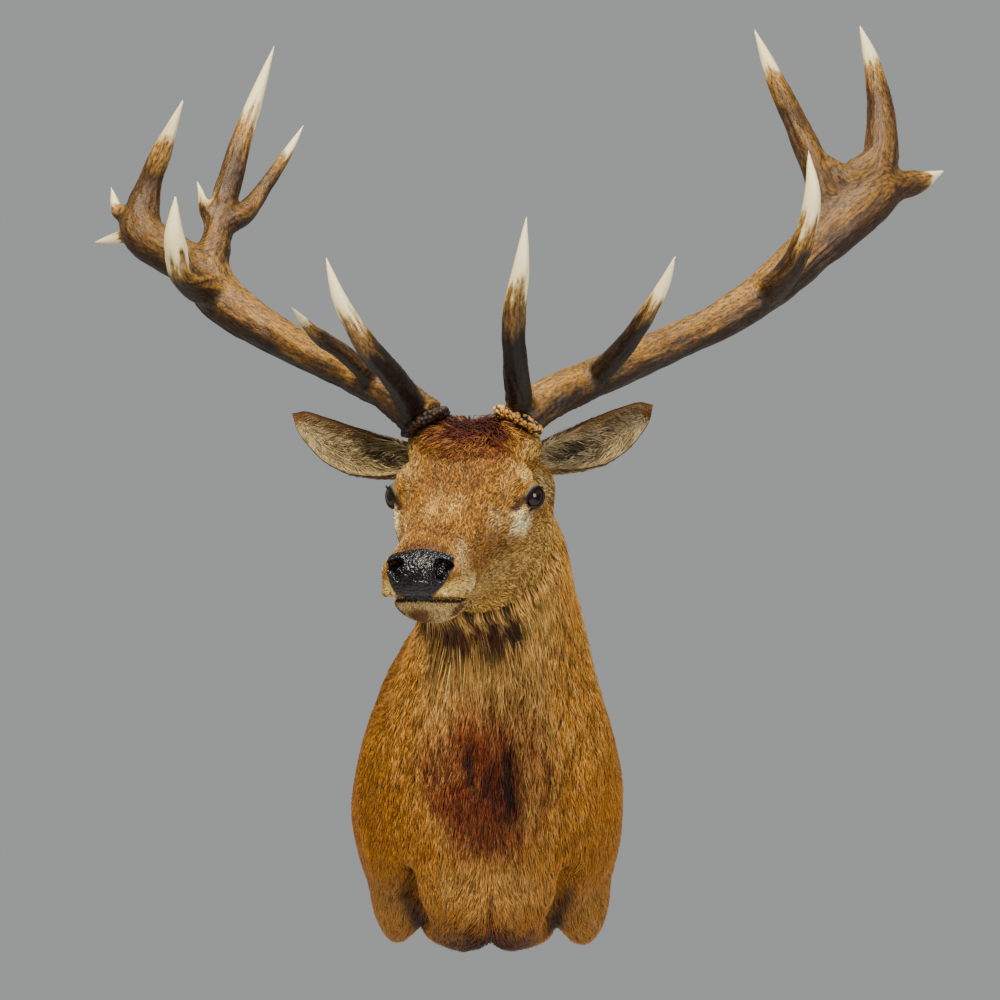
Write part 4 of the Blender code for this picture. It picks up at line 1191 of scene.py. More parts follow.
@dataclass
class DeerSkin:
    """The one skin of trunk, neck, head and forelegs, inside the coat."""

    form: BodyForm = field(default_factory=BodyForm)
    markings: Markings = field(default_factory=Markings)
    eyes: tuple[EyeForm, ...] = (EyeForm(-1.0), EyeForm(1.0))
    columns: int = 232
    rows_in_span: tuple[int, ...] = (
        (8, 10, 12, 12, 12, 10, 8, 8, 10, 10, 18, 24, 36, 32, 24, 22, 20, 20, 20, 16)
        + (12, 10)
    )
    crowding: float = 0.25  # columns drawn towards the sides, where the eyes are
    depth_at: tuple[float, ...] = (0, 4, 6, 8, 9, 10, 11, 13, 16, 19, 20, 21, 22)
    depths: tuple[float, ...] = (
        (0.0070, 0.0080, 0.0100, 0.0105, 0.0085, 0.0050, 0.0040, 0.0032, 0.0028)
        + (0.0022, 0.0016, 0.0012, 0.0010)
    )
    nose_rows: int = 6
    leg_size: Triple = (0.039, 0.102, 0.090)
    leg_places: tuple[Triple, ...] = ((-0.133, -0.140, -0.182), (0.142, -0.140, -0.187))
    leg_join: float = 0.010  # over which a stump runs into the trunk
    far_outside: float = 0.13  # where the search for a stump's skin starts
    search_steps: int = 20
    lid_join: float = 0.006
    socket: float = 0.0045  # gap behind the ball's surface in the opening
    nostril: Triple = (0.2600, 0.0272, 0.0025)
    nostril_half: tuple[float, float] = (0.0134, 0.0092)
    nostril_deep: float = 0.0150
    # painted shade: the skin beneath the coat is darkened by this factor, for the shadow between
    # the hairs
    shade_under_hair: float = 0.70  # brightness of the skin beneath the coat
    at: Array = field(init=False)
    depth: Array = field(init=False)
    pole: Array = field(init=False)
    sheet: Sheet = field(init=False)

    def __post_init__(self) -> None:
        """Works out the grid."""
        spans = [
            np.linspace(k, k + 1, n, endpoint=False)
            for k, n in enumerate(self.rows_in_span)
        ]
        at = np.concatenate((*spans, [len(self.rows_in_span)]))
        t = np.arange(self.columns) / self.columns
        angle = 2 * math.pi * t + self.crowding * np.sin(4 * math.pi * t)
        outer = Sheet(self.form.surface(at, angle))
        local = self.form.head.to_local(outer.points)
        depth = np.interp(at, self.depth_at, self.depths)[:, None]
        crown = ease(1.3, 0.7, in_egg(local, (-0.075, 0, 0.07), (0.06, 0.065, 0.04)))
        depth = depth + 0.006 * crown * (at > 10)[:, None]
        depth = depth * (1.0 - self.markings.pad(local))
        points = outer.points - outer.normal * depth[..., None]
        points = self.with_legs(points, outer.normal, at)
        points = self.with_brisket(points, outer.normal)
        points = self.with_face(Sheet(points), at)
        for eye in self.eyes:
            points = self.with_lids(points, eye, at)
        ring, step = points[-1], np.linspace(0, 1, self.nose_rows + 1)[1:-1]
        middle = ring.mean(axis=0)
        ahead = self.form.head.axes()[0] * 0.0022
        rim = (ring - middle) * np.sqrt(1 - step**2)[:, None, None]
        closing = middle + rim + ahead * step[:, None, None]
        points = np.concatenate((points, closing))
        self.at = np.concatenate((at, np.full(len(step), at[-1])))
        last = np.repeat(depth[-1:], len(step), axis=0)
        self.depth = np.concatenate((depth, last))
        self.pole = middle + ahead
        self.sheet = Sheet(points, (0.0, 0.0, 1.0, 0.86))

    def with_legs(self, points: Array, normal: Array, at: Array) -> Array:
        """Moves the skin out along its normal to the shoulder stumps.

        Each stump is an egg.  From far outside, steps of the smooth minimum of the
        distance to the trunk and the distance to the egg lead in to their common skin.

        Args:
            points: of the skin.
            normal: the way out of the coat there.
            at: station number of each row.

        Returns:
            The new places.
        """
        near = at < 3.5
        base, way = points[near], normal[near]
        reach = np.array(self.leg_size)
        for place in self.leg_places:
            out = np.full(base.shape[:2], self.far_outside)
            for _ in range(self.search_steps):
                spot = (base + way * out[..., None] - np.array(place)) / reach
                k0 = np.linalg.norm(spot, axis=-1)
                k1 = np.linalg.norm(spot / reach, axis=-1)
                egg = k0 * (k0 - 1.0) / np.maximum(k1, 1e-6)
                share = np.clip(0.5 + 0.5 * (out - egg) / self.leg_join, 0.0, 1.0)
                joined = out + (egg - out) * share
                out = out - joined + self.leg_join * share * (1.0 - share)
            base = base + way * np.clip(out, 0.0, None)[..., None]
        points = points.copy()
        points[near] = base
        return points

    def with_brisket(self, points: Array, normal: Array) -> Array:
        """Presses in the seam down the brisket and the deep folds beside the forelegs.

        Each is a valley about its line, which deepens downwards.

        Args:
            points: of the skin.
            normal: the way out of the coat there.

        Returns:
            The new places.
        """
        x, y, z = np.moveaxis(points, -1, 0)
        seam = 0.009 * valley(x - CHEST_X, 0.012) * ease(-0.10, -0.17, z)
        line = np.interp(z, (-0.235, -0.178), (0.0950, 0.115))
        beside = valley(np.abs(x) - line, 0.0130)
        fold = 0.055 * beside * ease(-0.120, -0.165, z) * ease(-0.02, -0.12, y)
        fold = fold * ease(-0.262, -0.232, z)
        notch = 0.020 * valley(x - CHEST_X, 0.030) * ease(-0.255, -0.285, z)
        flat = points * (1.0, 0.0, 1.0)
        column = from_line(flat, (0.084, 0.0, 0.170), (0.114, 0.0, -0.030))
        other = from_line(flat, (-0.097, 0.0, 0.130), (-0.126, 0.0, -0.050))
        groove = valley(np.minimum(column, other), 0.013)
        seam = seam + 0.0075 * groove * ease(-0.20, -0.30, y) * ease(0.19, 0.15, z)
        ripple = 0.0024 * ragged(points * (1.0, 1.0, 0.5), 0.034, 11)
        body = ease(-0.46, -0.40, y)
        push = ripple * body - seam - fold - notch
        return points + normal * push[..., None]

    def with_face(self, sheet: Sheet, at: Array) -> Array:
        """Models tear pits, creases, nostrils, the groove of the nose and the mouth.

        Each crease is a valley about a line of the face.

        Args:
            sheet: the skin so far.
            at: station number of each row.

        Returns:
            The new places.
        """
        local = self.form.head.to_local(sheet.points)
        along, side, up = np.moveaxis(local, -1, 0)
        both = np.stack((along, np.abs(side), up), axis=-1)
        press = np.zeros(side.shape)
        for place, start, end, wide, deep in (
            (both, (0.028, 0.086, 0.0085), (0.052, 0.0745, 0.0025), 0.0036, 0.0044),
            (both, (0.004, 0.075, 0.036), (-0.026, 0.083, 0.022), 0.0050, -0.0016),
            (local, (0.098, -0.030, 0.028), (0.1116, -0.0462, 0.0121), 0.0028, 0.0036),
            (local, (0.1116, -0.0462, 0.0121), (0.150, -0.055, -0.005), 0.0028, 0.0036),
            (both, (0.262, 0.0, -0.004), (0.274, 0.0, -0.036), 0.0022, 0.0020),
            (both, (0.182, 0.056, -0.050), (0.200, 0.046, -0.084), 0.0032, 0.0030),
            (both, (0.160, 0.060, -0.040), (0.120, 0.064, -0.066), 0.0060, 0.0016),
            (both, (0.070, 0.066, 0.012), (0.150, 0.052, -0.016), 0.0080, 0.0012),
        ):
            press += deep * valley(from_line(place, start, end), wide)
        lip = up - self.form.lip(along)
        front = ease(0.180, 0.200, along)
        press += 0.0060 * valley(lip, 0.0044) * front
        swell = valley(lip - 0.0085, 0.0050) * ease(0.19, 0.22, along)
        press -= 0.0022 * swell * (1 - self.markings.pad(local))
        face = ease(10.0, 11.0, at)[:, None]
        points = sheet.points - sheet.normal * (press * face)[..., None]
        return self.with_nostrils(points)

    def with_nostrils(self, points: Array) -> Array:
        """Sinks a comma-shaped hole on each side of the nose, inside a raised wing.

        The comma is an egg whose middle line bends outwards and down at its back.

        Args:
            points: of the skin.

        Returns:
            The new places.
        """
        head = self.form.head
        for sign in (-1.0, 1.0):
            local = on_side(head.to_local(points), sign)
            out = unit(np.array((0.80, 0.50, 0.33)))
            back = unit(np.cross(out, (0.30, -0.25, 0.90)))
            back = back * np.sign(back[1])
            rise = np.cross(back, out)
            rise = rise * np.sign(rise[2])
            away = local - self.nostril
            across, high, deep = dot(away, back), dot(away, rise), dot(away, out)
            bend = high + 55.0 * (across - 0.001) ** 2 - 0.001
            long, wide = self.nostril_half
            egg = np.sqrt((across / long) ** 2 + (bend / wide) ** 2)
            egg = np.where(np.abs(deep) < 0.03, egg, 9.0)
            hole = ease(1.10, 0.72, egg)
            wing = valley(egg - 1.45, 0.32)
            push = -self.nostril_deep * hole[..., None] * out + 0.0013 * wing[..., None] * out
            push = push + hole[..., None] * 0.003 * back
            points = points + head.turn(on_side(push, sign))
        return points

    def with_lids(self, points: Array, eye: EyeForm, at: Array) -> Array:
        """Raises lids over the ball and sinks the skin behind it in the opening.

        Points move along the looking axis only.  The lids are a sphere a little larger
        than the ball, joined to the face by a smooth maximum.

        Args:
            points: of the skin.
            eye: the ball and its opening.
            at: station number of each row.

        Returns:
            The new places.
        """
        ahead, up, out = eye.measure(points)
        far = np.hypot(ahead, up)
        near = (far < 0.045) & (np.abs(out) < 0.035) & (at > 10)[:, None]
        shell = eye.radius + eye.lid
        sphere = np.where(
            far < shell, np.sqrt(np.maximum(shell**2 - far**2, 0)), 2.5 * (shell - far)
        )
        share = np.clip(0.5 + 0.5 * (sphere - out) / self.lid_join, 0.0, 1.0)
        lid = out + (sphere - out) * share + self.lid_join * share * (1 - share)
        edge = eye.opening(ahead, up)
        crease = valley(edge - 0.46, 0.09) * ease(-0.002, 0.006, up)
        crease += 0.6 * valley(edge - 0.40, 0.08) * ease(-0.002, -0.008, up)
        lid = lid - 0.0017 * crease
        ball = np.sqrt(np.maximum(eye.radius**2 - far**2, 1e-6))
        sunk = np.minimum(lid, ball - self.socket)
        lid = lid + (sunk - lid) * ease(0.02, -0.16, edge)
        move = np.where(near, (lid - out) * ease(0.045, 0.036, far), 0.0)
        return points + move[..., None] * eye.axes()[2]

    def mesh_parts(self) -> tuple[Array, list[Array], Array]:
        """Points, faces and colours of the skin, closed at the wall and at the nose."""
        columns = self.columns
        back = self.sheet.points[0].mean(axis=0)
        points, faces = closed_tube(self.sheet.points, back, self.pole)
        at = np.concatenate((np.repeat(self.at, columns), (0.0, self.at[-1])))
        # painted shade between the hairs darkens the skin under the coat
        colour = self.markings.colour(points, at) * self.shade_under_hair
        for eye in self.eyes:
            edge = eye.edge(points)
            ahead, up, _ = eye.measure(points)
            upper = ease(0.004, 0.010, up - 0.55 * ahead)[:, None]
            lid = linear("#2a1a0e") * (1 - upper) + linear("#5e583e") * upper
            lidded = blend(lid, colour, ease(0.28, 0.50, edge))
            colour = np.where((edge < 9)[:, None], lidded, colour)
            colour = blend(linear("#120a07"), colour, ease(0.14, 0.26, edge))
        return points, faces, self.markings.bare(points, colour)


# ---------------------------------------------------------------- ears


@dataclass
class Ear:
    """A cupped leaf of skin that closes to a tube near its root."""

    side: str
    sign: float
    length: float
    rise: float
    sag: float
    form: BodyForm = field(default_factory=BodyForm)
    root: Triple = (-0.112, 0.070, 0.010)
    width: float = 0.102
    back: float = math.radians(16.0)
    # painted shade: the skin beneath the coat is darkened by this factor, for the shadow between
    # the hairs
    shade_under_hair: float = 0.8  # brightness of the skin beneath the coat
    rows: int = 64
    columns: int = 64
    marks: tuple[float, ...] = (0.0, 0.12, 0.3, 0.5, 0.7, 0.85, 0.95, 1.0)
    widths: tuple[float, ...] = (0.84, 0.93, 1.02, 0.97, 0.75, 0.50, 0.30, 0.10)
    turns: tuple[tuple[float, ...], tuple[float, ...]] = (
        (0.0, 0.25, 0.55, 1.0),
        (146.0, 110.0, 82.0, 50.0),
    )
    sheet: Sheet = field(init=False)

    def __post_init__(self) -> None:
        """Works out the grid: an arc of growing opening, out along its back and home
        along its inside, carried from root to tip."""
        end = (0.975, 0.985, 0.993, 1.0)
        s = np.concatenate((np.linspace(-0.12, 0.965, self.rows - 4), end))
        nine = np.linspace(0, 1, 11)
        at = np.clip(s, 0, 1) * 10
        wide = curve_through(np.interp(nine, self.marks, self.widths), at)[:, 0]
        wide = self.width * wide * np.where(s < 0, 1 + 2.0 * s, 1.0)
        tip = np.sqrt(np.clip((1.003 - s) / 0.06, 0.0, 1.0))
        wide = np.maximum(wide * np.where(s > 0.943, tip, 1.0), 0.0012)
        opening = np.radians(curve_through(np.interp(nine, *self.turns), at)[:, 0])
        tip_way, front_way, edge_way = self.ways()
        root = self.form.head.to_world(on_side(self.root, self.sign))
        middle = root + (s * self.length)[:, None] * tip_way
        bend = np.sin(math.pi * np.clip(s, 0, 1) ** 1.1)
        middle = middle + (self.sag * bend)[:, None] * edge_way
        turn = full_turn(self.columns)
        across = -np.cos(turn)[None, :]
        thick = np.interp(s, (0.0, 0.3, 0.9, 1.0), (0.0045, 0.0034, 0.0022, 0.0006))
        wall = np.sign(np.sin(turn)) * np.abs(np.sin(turn)) ** 0.5
        wall = wall[None, :] * thick[:, None] / 2
        folds = 0.0022 * np.cos(8.0 * across + 0.6) * ease(0.85, 0.45, np.abs(across))
        folds = folds * (ease(0.05, 0.3, s) * ease(0.95, 0.65, s))[:, None]
        radius = (wide / 2 / opening)[:, None]
        sweep = across * opening[:, None]
        reach = radius + wall
        out = radius * np.cos(opening)[:, None] - reach * np.cos(sweep) + folds
        points = middle[:, None] + (reach * np.sin(sweep))[..., None] * edge_way
        points = points + out[..., None] * front_way
        self.s, self.across, self.inside = s, across[0], -np.sin(turn)
        island = (0.0 if self.sign < 0 else 0.5, 0.88, 0.48, 0.12)
        quads = ring_faces(*points.shape[:2])
        if outwards(points.reshape(-1, 3), [quads])[0][0, 0] != quads[0, 0]:
            points = points[:, ::-1]
            self.across, self.inside = self.across[::-1], self.inside[::-1]
        self.sheet = Sheet(points, island)

    def ways(self) -> tuple[Array, Array, Array]:
        """Unit vectors to the tip, out of the cup, and towards the lower edge."""
        level = self.sign * math.cos(self.rise) * math.cos(self.back)
        tip = unit(np.array((level, math.sin(self.back), math.sin(self.rise))))
        front = np.array((self.sign * 0.30, -1.0, 0.18))
        front = unit(front - tip * (front @ tip))
        return tip, front, np.cross(tip, front) * self.sign

    def grid_of(self, name: str) -> Array:
        """One of "s", "across" and "inside" at every point of the grid."""
        values = getattr(self, name)
        values = values[:, None] if name == "s" else values[None, :]
        return np.broadcast_to(values, self.sheet.points.shape[:2])

    def colour(self, s: Array, across: Array, inside: Array, points: Array) -> Array:
        """Linear colour: pale inside with painted shade in its hollow, a dark rim, brown outside.

        Args:
            s: 0 at the root and 1 at the tip.
            across: -1 on the upper edge and 1 on the lower.
            inside: 1 in the cup and -1 on the back.
            points: world places, for the ragged edges.
        """
        wander = ragged(points, 0.009, 8) + 0.6 * ragged(points, 0.004, 9)
        pale = blend(linear("#a8946a"), linear("#6c5c3a"), ease(-0.3, 0.8, wander))
        dusky = ease(0.30, 0.75, s) * ease(0.6, -0.5, across + 0.3 * wander)
        pale = over(pale, "#5f4c2c", 0.45 * dusky)
        # painted shade in the hollow of the cup
        hollow = np.hypot((s - 0.28) / 0.18, (across + 0.20 + 0.83 * (s - 0.28)) / 0.22)
        hollow = ease(1.25, 0.5, hollow + 0.25 * wander)
        pale = over(pale, "#1a0e06", 0.92 * hollow)
        cream = ease(0.35, 0.9, across) * ease(0.85, 0.2, s)
        pale = over(pale, "#c4ac70", 0.8 * cream)
        dusk = blend(linear("#7a5a2c"), linear("#543a1c"), ease(-0.5, 0.6, wander))
        colour = blend(dusk, pale, ease(-0.15, 0.20, inside))
        band = ease(-0.62, -0.90, across + 0.12 * wander) * ease(0.10, 0.4, s)
        colour = over(colour, "#704818", 0.85 * band)
        tip = ease(0.87, 0.96, s + 0.04 * wander)
        colour = over(colour, "#6a4416", 0.9 * tip)
        rim = ease(0.93, 0.985, np.abs(across)) * ease(0.15, 0.35, s)
        return blend(colour, linear("#1c1009"), 0.9 * rim)

    def mesh_parts(self) -> tuple[Array, list[Array], Array]:
        """Points, faces and colours, closed at both ends."""
        grid = self.sheet.points
        points, faces = closed_tube(grid, grid[0].mean(axis=0), grid[-1].mean(axis=0))
        known = [self.grid_of(name).ravel() for name in ("s", "across", "inside")]
        # painted shade between the hairs darkens the skin under the coat
        colour = self.colour(*known, grid.reshape(-1, 3)) * self.shade_under_hair
        return points, faces, np.vstack((colour, colour[:1], colour[-1:]))


# ---------------------------------------------------------------- the coat


class Part(Enum):
    """The parts of the coat that grow on the one skin."""

    BODY = "body"
    RUFF = "ruff"
    FACE = "face"
    CROWN = "crown"


@dataclass
class Tufts:
    """Arrays that say where each tuft starts, how it lies and how it looks."""

    row: Array
    column: Array
    way: Array
    length: Array
    width: Array
    lift: Array
    bend: Array  # how far the tip is swept sideways, in lengths
    colour: Array

    def keep(self, chosen: Array) -> "Tufts":
        """The chosen tufts alone."""
        return Tufts(*(value[chosen] for value in vars(self).values()))


@dataclass
class CoatPiece:
    """One mesh of tufts over a sheet.

    The line of a tuft runs over the sheet along the lie, and rises from just under
    the skin to its lift by 1 - (1 - t)², t being 0 at the root and 1 at the tip.
    """

    name: str
    sheet: Sheet
    tufts: Tufts
    sink: float = 0.0008
    wall_gap: float = 0.0030
    most_columns: float = 9.0  # that a tuft may cross, so none shoots off an edge

    def build(self, material: Material) -> None:
        """Lays the tufts and makes the mesh, with its colours and its unwrap.

        Args:
            material: finish of the hair.
        """
        t, sheet = self.tufts, self.sheet
        by_row, by_column = sheet.steps(t.row, t.column, t.way)
        over = np.abs(by_column * t.length) / self.most_columns
        length = t.length / np.maximum(over, 1.0)
        line, rise = [], []
        for stop in (0.0, 0.5, 1.0):
            row = t.row + by_row * length * stop
            column = t.column + by_column * length * stop
            normal = unit(sheet.read(sheet.normal, row, column))
            height = t.lift * (1 - (1 - stop) ** 2) - self.sink * (1 - stop)
            aside = np.cross(normal, t.way) * (t.bend * length * stop**2)[:, None]
            spot = sheet.place(row, column) + normal * height[:, None] + aside
            spot[:, 1] = np.minimum(spot[:, 1], -self.wall_gap)
            line.append(spot)
            rise.append(normal)
        flat = sheet.unwrapped(t.row, t.column)
        mesh = spikes(self.name, line, rise, t.width, t.colour, flat)
        add_piece(self.name, mesh, "red_deer_hide", material)


@dataclass
class Coat:
    """Grows the whole coat: body, ruff, face, crown and ears."""

    skin: DeerSkin
    ears: tuple[Ear, ...]
    counts: tuple[tuple[Part, int], ...] = (
        (Part.BODY, 94000),
        (Part.RUFF, 5000),
        (Part.FACE, 37000),
        (Part.CROWN, 3600),
    )
    ear_inner: int = 1500
    ear_outer: int = 1300
    most: int = 19000  # tufts in one mesh
    seed: int = 41
    stations: tuple[float, ...] = (0, 3, 6, 8.5, 9.4, 10.2, 11, 13, 16, 19, 20.5, 22.5)
    lengths: tuple[float, ...] = (
        (0.022, 0.023, 0.027, 0.031, 0.021, 0.015, 0.0125, 0.0110, 0.0105, 0.0085)
        + (0.0058, 0.0048)
    )
    widths: tuple[float, ...] = (
        (0.0014, 0.0014, 0.0014, 0.0015, 0.0016, 0.0016, 0.0016, 0.0016, 0.0015)
        + (0.0013, 0.0011, 0.0010)
    )

    def scatter(
        self, sheet: Sheet, weight: Array, count: int, salt: int
    ) -> tuple[Array, Array]:
        """Roots spread evenly over a sheet: equal steps of the summed cell weights.

        Args:
            sheet: the surface.
            weight: tufts for each square metre, in any unit, at each grid point.
            count: how many.
            salt: makes this call's numbers its own.

        Returns:
            Rows and columns of the roots.
        """
        random = np.random.default_rng(self.seed + salt)
        mass = np.cumsum((sheet.areas() * weight[:-1]).ravel())
        picks = (np.arange(count) + random.random(count)) / count * mass[-1]
        cell = np.minimum(np.searchsorted(mass, picks), len(mass) - 1)
        row, column = np.divmod(cell, weight.shape[1])
        return row + random.random(count), column + random.random(count)

    def masks(self) -> dict[Part, Array]:
        """Weights at the skin's grid points for each part of the coat."""
        skin, sheet = self.skin, self.skin.sheet
        at = np.broadcast_to(skin.at[:, None], sheet.points.shape[:2])
        local = skin.form.head.to_local(sheet.points)
        along, side, up = np.moveaxis(local, -1, 0)
        open_skin = 1.0 - skin.markings.pad(local)
        lip = up - skin.form.lip(along)
        bare_lip = ease(0.0016, 0.0040, np.where(lip > 0, lip * 1.3, -lip))
        open_skin = open_skin * np.where(along > MOUTH_CORNER, bare_lip, 1.0)
        for eye in skin.eyes:
            open_skin = open_skin * ease(0.24, 0.50, eye.edge(sheet.points))
            away = np.linalg.norm(local - on_side(BURR_SEAT, eye.sign), axis=-1)
            open_skin = open_skin * np.where(at > 9, (away > 0.022), True)
        throat = -unit(sheet.normal)[..., 1]
        ruff = ease(7.6, 8.6, at) * ease(9.7, 9.1, at) * ease(0.15, 0.5, throat)
        crown = in_egg(local, (-0.058, 0, 0.075), (0.060, 0.060, 0.036))
        crown = ease(1.15, 0.85, crown) * (at > 10)
        head = ease(9.0, 9.6, at)
        finer = np.interp(at, (9, 10.5, 14, 18, 20, 22.5), (0.5, 0.9, 1.1, 1.4, 2.0, 2.3))
        return {
            Part.BODY: (1 - head) * open_skin,
            Part.FACE: head * finer * open_skin * (1 - 0.6 * crown),
            Part.CROWN: crown * open_skin,
            Part.RUFF: ruff * open_skin,
        }

    def lie(self, points: Array, at: Array, slope: Array, normal: Array) -> Array:
        """Unit directions of the hair.

        It runs from the nose back over the body, turns down on neck and flanks, and
        keeps clear of eyes, horns and nose: the part of it that points at them is
        taken away.

        Args:
            points: world places.
            at: station numbers.
            slope: direction of the rows there.
            normal: of the skin.

        Returns:
            One unit vector for each place.
        """
        way = -unit(slope)
        down = np.array((0.0, 0.0, -1.0)) - normal * -normal[:, 2:3]
        heavy = np.interp(at, (0, 3, 5, 8, 9.3, 10.2), (1.1, 1.2, 1.3, 1.3, 0.7, 0.0))
        way = way + heavy[:, None] * down
        outward = np.zeros_like(points)
        outward[:, 0] = np.clip((points[:, 0] - CHEST_X) / 0.02, -1, 1)
        brisket = ease(-0.08, -0.16, points[:, 2]) * ease(-0.12, -0.28, points[:, 1])
        seam = ease(0.10, 0.02, np.abs(points[:, 0] - CHEST_X))
        way = way + (0.8 * brisket * seam)[:, None] * outward
        head = self.skin.form.head
        spots = [(eye.middle(), 0.040, 0.016) for eye in self.skin.eyes]
        for sign in (-1.0, 1.0):
            spots.append((head.to_world(on_side(BURR_SEAT, sign)), 0.050, 0.030))
        for middle, far, close in spots:
            away = points - middle
            distance = np.linalg.norm(away, axis=1)
            away = self.flatten(away, normal)
            towards = np.clip(-dot(unit(way), away), 0.0, None)
            share = 1.25 * ease(far, close, distance) * towards
            way = unit(way) + share[:, None] * away
        return self.flatten(way, normal)

    @staticmethod
    def flatten(way: Array, normal: Array) -> Array:
        """The direction without its part along the normal."""
        return unit(way - normal * dot(way, normal)[:, None])

    def turned(self, way: Array, normal: Array, angle: Array) -> Array:
        """The direction turned about the normal."""
        side = np.cross(normal, way)
        return way * np.cos(angle)[:, None] + side * np.sin(angle)[:, None]

    def grow_body(self, part: Part, count: int, salt: int) -> Tufts:
        """Tufts of one part of the skin's coat.

        Args:
            part: which.
            count: how many.
            salt: makes the part's random numbers its own.

        Returns:
            The tufts.
        """
        skin, sheet = self.skin, self.skin.sheet
        row, column = self.scatter(sheet, self.masks()[part], count, salt)
        random = np.random.default_rng(self.seed + 100 + salt)
        chance, spread = random.random, random.standard_normal
        points = sheet.place(row, column)
        normal = unit(sheet.read(sheet.normal, row, column))
        at = np.interp(row, np.arange(len(skin.at)), skin.at)
        depth = sheet.read(skin.depth, row, column)
        slope = sheet.read(sheet.along, row, column)
        way = self.lie(points, at, slope, normal)
        clump = ragged(points, 0.011, 21)
        sweep = ragged(points, 0.045, 22)
        length = np.interp(at, self.stations, self.lengths)
        width = np.interp(at, self.stations, self.widths)
        lift = depth * (0.28 + 0.55 * chance(count) + 0.15 * clump)
        head = skin.form.head
        local = head.to_local(points)
        for eye in skin.eyes:
            near = ease(0.040, 0.018, np.linalg.norm(points - eye.middle(), axis=1))
            length = length * (1 - 0.55 * near)
            lift = lift * (1 - 0.6 * near)
            width = width * (1 - 0.25 * near)
        if part is Part.CROWN:
            centre = head.to_world((-0.088, 0.0, 0.08))
            out = self.flatten(points - centre, normal)
            front = self.flatten(np.tile(head.axes()[0], (count, 1)), normal)
            wild = self.turned(out + 0.6 * front, normal, 1.3 * clump + 0.45 * spread(count))
            way = self.flatten(wild, normal)
            inner = in_egg(local, (-0.062, 0, 0.075), (0.056, 0.060, 0.040))
            inner = ease(1.15, 0.45, inner)
            length = (0.014 + 0.019 * inner) * (0.8 + 0.4 * chance(count))
            lift = 0.003 + inner * (0.003 + 0.013 * chance(count) + 0.004 * clump)
            width = np.full(count, 0.0016)
        elif part is Part.RUFF:
            length = 0.024 + 0.015 * chance(count)
            lift = 0.008 + 0.009 * chance(count) + 0.004 * clump
            width = np.full(count, 0.0021)
        curl = np.interp(at, (9.6, 10.6, 14, 19), (0.0, 0.55, 0.40, 0.1))
        angle = (0.12 + curl) * clump + 0.12 * sweep + (0.10 + 0.4 * curl) * spread(count)
        way = self.turned(way, normal, angle)
        length = length * (0.7 + 0.6 * chance(count))
        by_row, by_column = sheet.steps(row, column, way)
        seen = sheet.place(row + by_row * length * 0.6, column + by_column * length * 0.6)
        colour = self.toned(skin.markings.colour(seen, at), seen, at, random)
        lip = np.abs(local[:, 2] - skin.form.lip(local[:, 0]))
        mouth = np.where(local[:, 0] > MOUTH_CORNER, ease(0.006, 0.003, lip), 0.0)
        length = length * (1 - 0.5 * mouth)
        bend = 0.10 * clump + 0.10 * spread(count)
        return Tufts(row, column, way, length, width, lift, bend, colour)

    def toned(
        self, colour: Array, points: Array, at: Array, random: np.random.Generator
    ) -> Array:
        """Varies the colour of the tufts: streaks that hang, dark ones, pale ones.

        Args:
            colour: of the markings.
            points: world places.
            at: station numbers.
            random: the part's own numbers.

        Returns:
            Linear RGB.
        """
        count = len(at)
        hanging = points * (1.0, 1.0, 0.25)
        body = ease(10.5, 9.0, at)
        front = ease(2.0, 5.0, at) * body * ease(-0.26, -0.40, points[:, 1])
        streak = np.where(body > 0.5, ragged(hanging, 0.0045, 23), ragged(points, 0.0060, 24))
        rough = 0.08 + 0.12 * front + 0.29 * (1 - body)
        along = 0.5 + 1.2 * body
        tone = 1.0 + along * rough * streak + 0.14 * ragged(points, 0.045, 22)
        tone = tone + rough * random.standard_normal(count)
        dark = random.random(count) < rough * np.clip(0.9 - along * streak, 0.0, None)
        pale = random.random(count) < rough * np.clip(0.7 + along * streak, 0.0, None)
        straw = linear("#f0c880") * colour.mean(axis=1, keepdims=True) * 2.1
        straw = 0.45 * colour + 0.55 * straw
        colour = np.where(pale[:, None] & ~dark[:, None], straw, colour)
        tone = np.clip(np.where(dark, tone * 0.40, tone), 0.2, 1.8)
        return colour * tone[:, None]

    def grow_ear(self, ear: Ear, inner: bool, count: int, salt: int) -> Tufts:
        """Tufts of one face of an ear: long and pale inside, short outside.

        Args:
            ear: which.
            inner: whether it is the face in the cup.
            count: how many.
            salt: makes this face's random numbers its own.

        Returns:
            The tufts.
        """
        sheet = ear.sheet
        face = ear.grid_of("inside") * (1 if inner else -1)
        weight = ease(-0.05, 0.25, face) * ease(-0.10, 0.02, ear.grid_of("s"))
        weight = weight * ease(0.955, 0.90, np.abs(ear.grid_of("across")))
        if inner:
            weight = weight * (0.4 + 0.6 * ease(0.75, 0.2, ear.grid_of("s")))
        row, column = self.scatter(sheet, weight, count, salt)
        random = np.random.default_rng(self.seed + 200 + salt)
        chance, spread = random.random, random.standard_normal
        points = sheet.place(row, column)
        normal = unit(sheet.read(sheet.normal, row, column))
        way = unit(sheet.read(sheet.along, row, column))
        s, across, inside = (
            sheet.read(ear.grid_of(name), row, column)
            for name in ("s", "across", "inside")
        )
        way = self.turned(way, normal, 0.35 * ragged(points, 0.010, 31) + 0.15 * spread(count))
        if inner:
            streaming = np.interp(across, (-1.0, -0.2, 0.3, 1.0), (1.1, 0.7, -0.1, -0.5))
            way = self.flatten(way + streaming[:, None] * ear.ways()[2], normal)
            length = np.interp(s, (0, 0.3, 0.7, 1.0), (0.030, 0.028, 0.017, 0.006))
            length = length * np.interp(across, (-1.0, 0.0, 1.0), (1.15, 0.9, 0.6))
            lift = np.interp(s, (0, 0.4, 1.0), (0.008, 0.005, 0.0015))
        else:
            length = np.interp(s, (0, 0.3, 1.0), (0.014, 0.010, 0.006))
